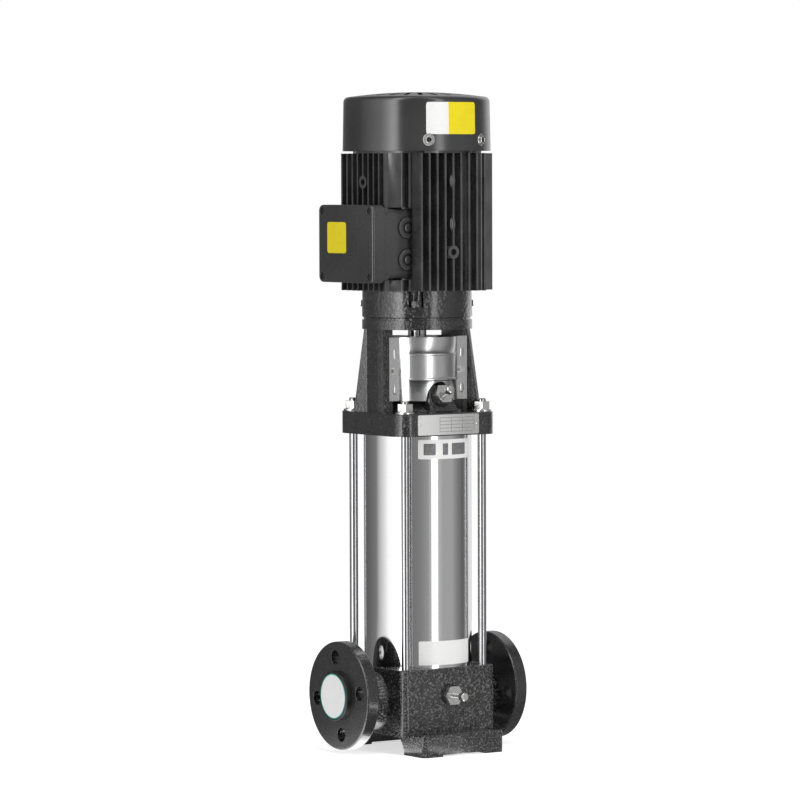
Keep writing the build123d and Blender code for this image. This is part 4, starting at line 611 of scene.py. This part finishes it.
def lump_grid(centre, half, out, steps=28, rings=8, under=20.0):
    """A low pillow on a flat face, as a grid of two angles: along one direction of the face the half size times
    the cosine of a turn, along the other times its sine, both times the cosine of a lift, and outwards the half
    depth times the sine of the lift. The lift goes from a little under the face to the top. A fan of faces closes
    it below, and each has the fan's centre twice."""
    turn = np.linspace(0, 2 * np.pi, steps, endpoint=False)
    lift = np.radians(np.linspace(-under, 90, rings))
    lift, turn = np.meshgrid(lift, turn, indexing="ij")
    points = np.stack([half[0] * np.cos(turn) * np.cos(lift), out * half[1] * np.sin(lift),
                       half[2] * np.sin(turn) * np.cos(lift)], axis=-1).reshape(-1, 3)
    bottom = [[0, -out * half[1] * math.sin(math.radians(under)), 0]]
    ring = np.arange(steps)
    middle = np.full(steps, len(points))
    fan = np.stack([np.roll(ring, -1), ring, middle, middle], axis=1)
    return np.concatenate([points, bottom]) + centre, np.concatenate([grid_faces(rings, steps, closed=True), fan])


def pillows(name, places, half, out, material):
    """Several equal pillows as one piece."""
    piece = joined_piece(name, [lump_grid(np.array(place), half, out) for place in places], material, crease=40)
    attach(piece, FIXED)


guard_steel = polished_metal("guard_steel", (0.70, 0.70, 0.70), 0.24, ring_scale=45.0, ring_depth=0.00035)
for guard in ("coupling_guard_front", "coupling_guard_back"):
    finished_copy(guard, guard_steel)
finished_copy("guard_screws", zinc, round_edge=0.2 * MM)
screw_low, screw_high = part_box("guard_screws")
screw_x = (screw_high.x - screw_low.x) / 2 - 4.5 * MM
screw_z = (screw_high.z + screw_low.z) / 2
edge_y = screw_high.y - 3 * MM
for side, way in (("front", -1), ("back", 1)):
    dimples = [(sign * screw_x, way * edge_y, screw_z + rise) for sign in (-1, 1) for rise in DIMPLE_RISES]
    pillows("guard_dimples_" + side, dimples, DIMPLE_HALF, way, guard_steel)

# The motor's end shields and finned frame are cast and bolted together, in a harder, glossier black than the pump.
# Two cast lumps stand on the middle fin at the front.
LUMP_HALF = (4.6 * MM, 2.9 * MM, 9.3 * MM)
LUMP_HEIGHTS = (737 * MM, 682 * MM)
LUMP_SINK = 2.9 * MM
shield_black = cast_paint("shield_black", colour=0.016, grain=200.0, depth=0.0018, gloss=0.14, coat=0.9,
                          painted_glint=0.05)
motor_black = cast_paint("motor_black", colour=0.046, grain=240.0, depth=0.00012, gloss=0.22, coat=0.8)
finished_copy("drive_end_shield", shield_black, round_edge=0.8 * MM)
finished_copy("motor_bolts", shield_black, round_edge=0.4 * MM)
finished_copy("stator_frame", motor_black, round_edge=0.6 * MM)
finished_copy("non_drive_end_shield", motor_black, round_edge=0.5 * MM)
lump_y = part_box("stator_frame")[0].y + LUMP_SINK
pillows("frame_lumps", [(0, lump_y, z) for z in LUMP_HEIGHTS], LUMP_HALF, -1, motor_black)

# The fan cover is drawn from sheet steel and sprayed satin black. Its four socket screws stand on bright washers,
# and the front carries a plain label, part white and part yellow. The fan under it is plastic.
WASHER_RADIUS, WASHER_TOP = 7.8 * MM, 1.1 * MM
HEAD_RADIUS, HEAD_TOP = 5 * MM, 4 * MM
SOCKET_RADIUS = 3.3 * MM
HEAD_SEAT = -0.1 * MM
DRUM_DRAFT = 1.2 * MM
DRUM_SHOULDER = 13 * MM
DRUM_LABEL_Z = (797 * MM, 838 * MM)
DRUM_LABEL_TURN = (-26.8, 17.4)
WHITE_UP_TO = -0.2


def islands(node_name):
    """The lowest and highest corners of each separate solid of a node. Every corner starts with a number of its own,
    and takes the least number of its faces until none changes, so that one number is left for each solid."""
    mesh = nodes[node_name].data
    corners = np.empty(len(mesh.vertices) * 3)
    mesh.vertices.foreach_get("co", corners)
    corners = corners.reshape(-1, 3)
    _, same = np.unique(np.round(corners * 1e6).astype(np.int64), axis=0, return_inverse=True)
    same = same.ravel()
    mesh.calc_loop_triangles()
    triangles = np.empty(len(mesh.loop_triangles) * 3, dtype=np.int32)
    mesh.loop_triangles.foreach_get("vertices", triangles)
    triangles = same[triangles.reshape(-1, 3)]
    label = np.arange(same.max() + 1)
    while True:
        least = label[triangles].min(axis=1)
        updated = label.copy()
        np.minimum.at(updated, triangles.ravel(), np.repeat(least, 3))
        if np.array_equal(updated, label):
            break
        label = updated
    groups = [corners[label[same] == mark] for mark in np.unique(label)]
    return [(group.min(axis=0), group.max(axis=0)) for group in groups]


cover_black = cast_paint("fan_cover_black", colour=0.026, grain=60.0, depth=0.00002, gloss=0.22, coat=0.5)
fan_plastic = flat_finish("fan_plastic", (0.72, 0.72, 0.70), 0.45)
# This black is the real colour of the terminal box screws, and is also used for dark discs and rings that paint
# shade.
black_screws_and_shade = flat_finish("black_screws_and_shade", (0.01, 0.01, 0.01), 0.5, mottle=0.2)
finished_copy("fan_cover", cover_black)
finished_copy("fan", fan_plastic, body="rotor")
cover_low, cover_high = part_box("fan_cover")
cover_radius = (cover_high.x - cover_low.x) / 2
bevel_small, bevel_head = 0.3 * MM, 0.4 * MM
screw_profile = [
    (0, WASHER_TOP), (SOCKET_RADIUS, WASHER_TOP), (SOCKET_RADIUS, HEAD_TOP - bevel_small),
    (SOCKET_RADIUS + bevel_small, HEAD_TOP), (HEAD_RADIUS - bevel_head, HEAD_TOP),
    (HEAD_RADIUS, HEAD_TOP - bevel_head), (HEAD_RADIUS, WASHER_TOP), (WASHER_RADIUS - bevel_small, WASHER_TOP),
    (WASHER_RADIUS, WASHER_TOP - bevel_small), (WASHER_RADIUS, HEAD_SEAT), (0, HEAD_SEAT)]
# A dark disc laid in each socket paints the shade inside it.
dark_radius, dark_low, dark_high = SOCKET_RADIUS - 0.05 * MM, WASHER_TOP + 0.05 * MM, WASHER_TOP + 0.2 * MM
socket_shade_profile = [(0, dark_high), (dark_radius, dark_high), (dark_radius, dark_low), (0, dark_low)]
screw_grids, socket_shade_grids = [], []
for low, high in islands("fan_cover_screws"):
    middle = (low + high) / 2
    turn = math.atan2(middle[1], middle[0])
    out_x, out_y = math.cos(turn), math.sin(turn)
    screw_matrix = [[-out_y, 0, out_x, cover_radius * out_x], [out_x, 0, out_y, cover_radius * out_y],
                    [0, 1, 0, middle[2]]]
    screw_grids.append(turned_grid(screw_profile, 40, screw_matrix))
    socket_shade_grids.append(turned_grid(socket_shade_profile, 24, screw_matrix))
cover_screws = joined_piece("fan_cover_screw_heads", screw_grids, zinc)
cover_socket_shade = joined_piece("fan_cover_screw_socket_shade", socket_shade_grids, black_screws_and_shade)
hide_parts("fan_cover_screws")
for piece, slot in ((cover_screws, "zinc_plated_steel"), (cover_socket_shade, "black_plastic")):
    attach(piece, FIXED)

label_yellow = flat_finish("label_yellow", (0.80, 0.66, 0.01), 0.35, mottle=0.03)
drum_high = cover_high.z - DRUM_SHOULDER - cover_low.z
drum_radii = [cover_radius - DRUM_DRAFT * (z - cover_low.z) / drum_high for z in DRUM_LABEL_Z]
label_middle = FRONT + math.radians(sum(DRUM_LABEL_TURN) / 2)
label_half = math.radians(DRUM_LABEL_TURN[1] - DRUM_LABEL_TURN[0]) / 2 * drum_radii[0]
cover_label = wrapped_label("fan_cover_label", drum_radii, label_middle, label_half, *DRUM_LABEL_Z, 0.25 * MM, 3 * MM,
                            label_yellow)
label_mesh = cover_label.data
label_mesh.materials.append(label_white)
centres = np.empty(len(label_mesh.polygons) * 3)
label_mesh.polygons.foreach_get("center", centres)
centres = centres.reshape(-1, 3)
along_label = (np.arctan2(centres[:, 1], centres[:, 0]) - label_middle) * drum_radii[0] / label_half
label_mesh.polygons.foreach_set("material_index", (along_label < WHITE_UP_TO).astype(np.int32))

# The terminal box is cast to sit on the frame, under a shallow lid with a gasket, four sunk screws and a plain yellow
# sticker. Two moulded plugs with hexagons are screwed into the cable entries.
PLUG_GAP = 1.1 * MM
PLUG_STEP_Y = 3.5 * MM
STICKER_HALF = (22 * MM, 20 * MM)
STICKER_CORNER = 4 * MM
STICKER_THICK = 0.2 * MM
STICKER_Z = 664.8 * MM
STICKER_ASIDE = 20 * MM


def round_plate_grid(half, corner, thick, matrix):
    """A flat plate with round corners: the outline goes round four corner circles, and rings of it shrink toward
    the middle on the front. Height over the ground is nought at the outer ring and the thickness on the face."""
    quarters = np.repeat((0, 90, 180, 270), 8)
    turn = np.radians(quarters + np.tile(np.linspace(0, 90, 8), 4))
    diagonal = np.radians(quarters + 45)
    edge = np.stack([np.sign(np.cos(diagonal)) * (half[0] - corner) + corner * np.cos(turn),
                     np.sign(np.sin(diagonal)) * (half[1] - corner) + corner * np.sin(turn)], axis=1)
    share = np.array([0.0, 1.0, 1.0, 1.0 - 0.3 * MM / half[0], 0.6, 0.0])
    height = np.array([0.0, 0.0, thick * 0.6, thick, thick, thick])
    points = np.concatenate([edge * share[:, None, None],
                             np.broadcast_to(height[:, None, None], (len(share), len(edge), 1))], axis=2)
    return place_points(points.reshape(-1, 3), matrix), grid_faces(len(share), len(edge), closed=True)


box_black = cast_paint("terminal_box_black", colour=0.030, grain=60.0, depth=0.00003, gloss=0.28, coat=0.45)
finished_copy("terminal_box", box_black, round_edge=0.5 * MM)
finished_copy("terminal_box_cover", box_black, round_edge=0.6 * MM)
finished_copy("terminal_box_gasket", rubber)
finished_copy("terminal_box_screws", black_screws_and_shade)
finished_copy("cable_entry_plugs", box_black, round_edge=0.3 * MM)
plug_low, plug_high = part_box("cable_entry_plugs")
plug_radius = (plug_high.x - plug_low.x) / 2
# A dark ring round each plug and a dark disc in its recess paint the shade in the gap and in the recess.
gap_inner, gap_outer = plug_radius - 0.5 * MM, plug_radius + PLUG_GAP
gap_shade_profile = [(gap_inner, 0), (gap_outer, 0), (gap_outer, 0.25 * MM), (gap_inner, 0.25 * MM), (gap_inner, 0)]
recess_shade_profile = [(0, 1.0 * MM), (0.59 * plug_radius, 1.0 * MM), (0.59 * plug_radius, 1.2 * MM), (0, 1.2 * MM)]
hexagon_profile = [(0, 1.1 * MM), (0.40 * plug_radius, 1.1 * MM), (0.40 * plug_radius, 2.6 * MM),
                   (0.34 * plug_radius, 3.0 * MM), (0.16 * plug_radius, 3.0 * MM), (0.13 * plug_radius, 2.0 * MM),
                   (0, 2.0 * MM)]
gap_shade_grids, hexagon_grids = [], []
for plug_z in (plug_low.z + plug_radius, plug_high.z - plug_radius):
    plug_matrix = [[1, 0, 0, plug_low.x + plug_radius], [0, 0, -1, plug_low.y + PLUG_STEP_Y], [0, 1, 0, plug_z]]
    gap_shade_grids += [turned_grid(gap_shade_profile, 48, plug_matrix), turned_grid(recess_shade_profile, 48, plug_matrix)]
    hexagon_grids.append(turned_grid(hexagon_profile, 6, plug_matrix))
for detail, grids, material in (("painted_gap_shade", gap_shade_grids, black_screws_and_shade), ("hexagons", hexagon_grids, box_black)):
    piece = joined_piece("cable_entry_" + detail, grids, material)
    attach(piece, FIXED)
lid_low, lid_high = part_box("terminal_box_cover")
sticker_matrix = [[0, 0, -1, lid_low.x + 0.01 * MM], [-1, 0, 0, (lid_low.y + lid_high.y) / 2 + STICKER_ASIDE],
                  [0, 1, 0, STICKER_Z]]
sticker_grid = round_plate_grid(STICKER_HALF, STICKER_CORNER, STICKER_THICK, sticker_matrix)
sticker = joined_piece("terminal_box_sticker", [sticker_grid], label_yellow)
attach(sticker, FIXED)

# What the housings hide keeps its CAD shape and gets its own finish: pressed steel stages, carbon and rubber in the
# seal and bearings, stacked iron sheets and copper in the motor, and brass studs on a plastic board in the box.


def dress_nodes(material, *names):
    """Puts one material into every slot of CAD nodes that keep their own shape."""
    for name in names:
        for slot in nodes[name].material_slots:
            slot.material = material


stage_steel = polished_metal("stage_steel", (0.68, 0.68, 0.68), 0.28, ring_scale=300.0, ring_depth=0.00002)
carbon = flat_finish("seal_carbon", (0.05, 0.05, 0.052), 0.35)
laminations = polished_metal("laminations", (0.42, 0.43, 0.45), 0.35, ring_scale=2200.0, ring_depth=0.00008)
copper = flat_finish("winding_copper", (0.62, 0.24, 0.08), 0.35, mottle=0.2, grain=300.0, bump=0.0003,
                     metallic=0.8)
brass = plated_steel("stud_brass", (0.80, 0.62, 0.30), 0.25)
board_plastic = flat_finish("board_plastic", (0.03, 0.03, 0.032), 0.5)
dress_nodes(stage_steel, "inlet_chamber", "stage_chambers", "impellers", "distance_tubes", "stack_top_plate",
            "stack_straps", "shaft_nut", "seal_rotating_ring", "bearing_inner_rings", "bearing_outer_rings",
            "wave_washer")
dress_nodes(carbon, "neck_rings", "shaft_bush", "seal_seat")
dress_nodes(rubber, "sleeve_o_rings")
dress_nodes(laminations, "stator_core", "rotor_core")
dress_nodes(copper, "windings")
dress_nodes(board_plastic, "terminal_board")
dress_nodes(brass, "terminal_studs")
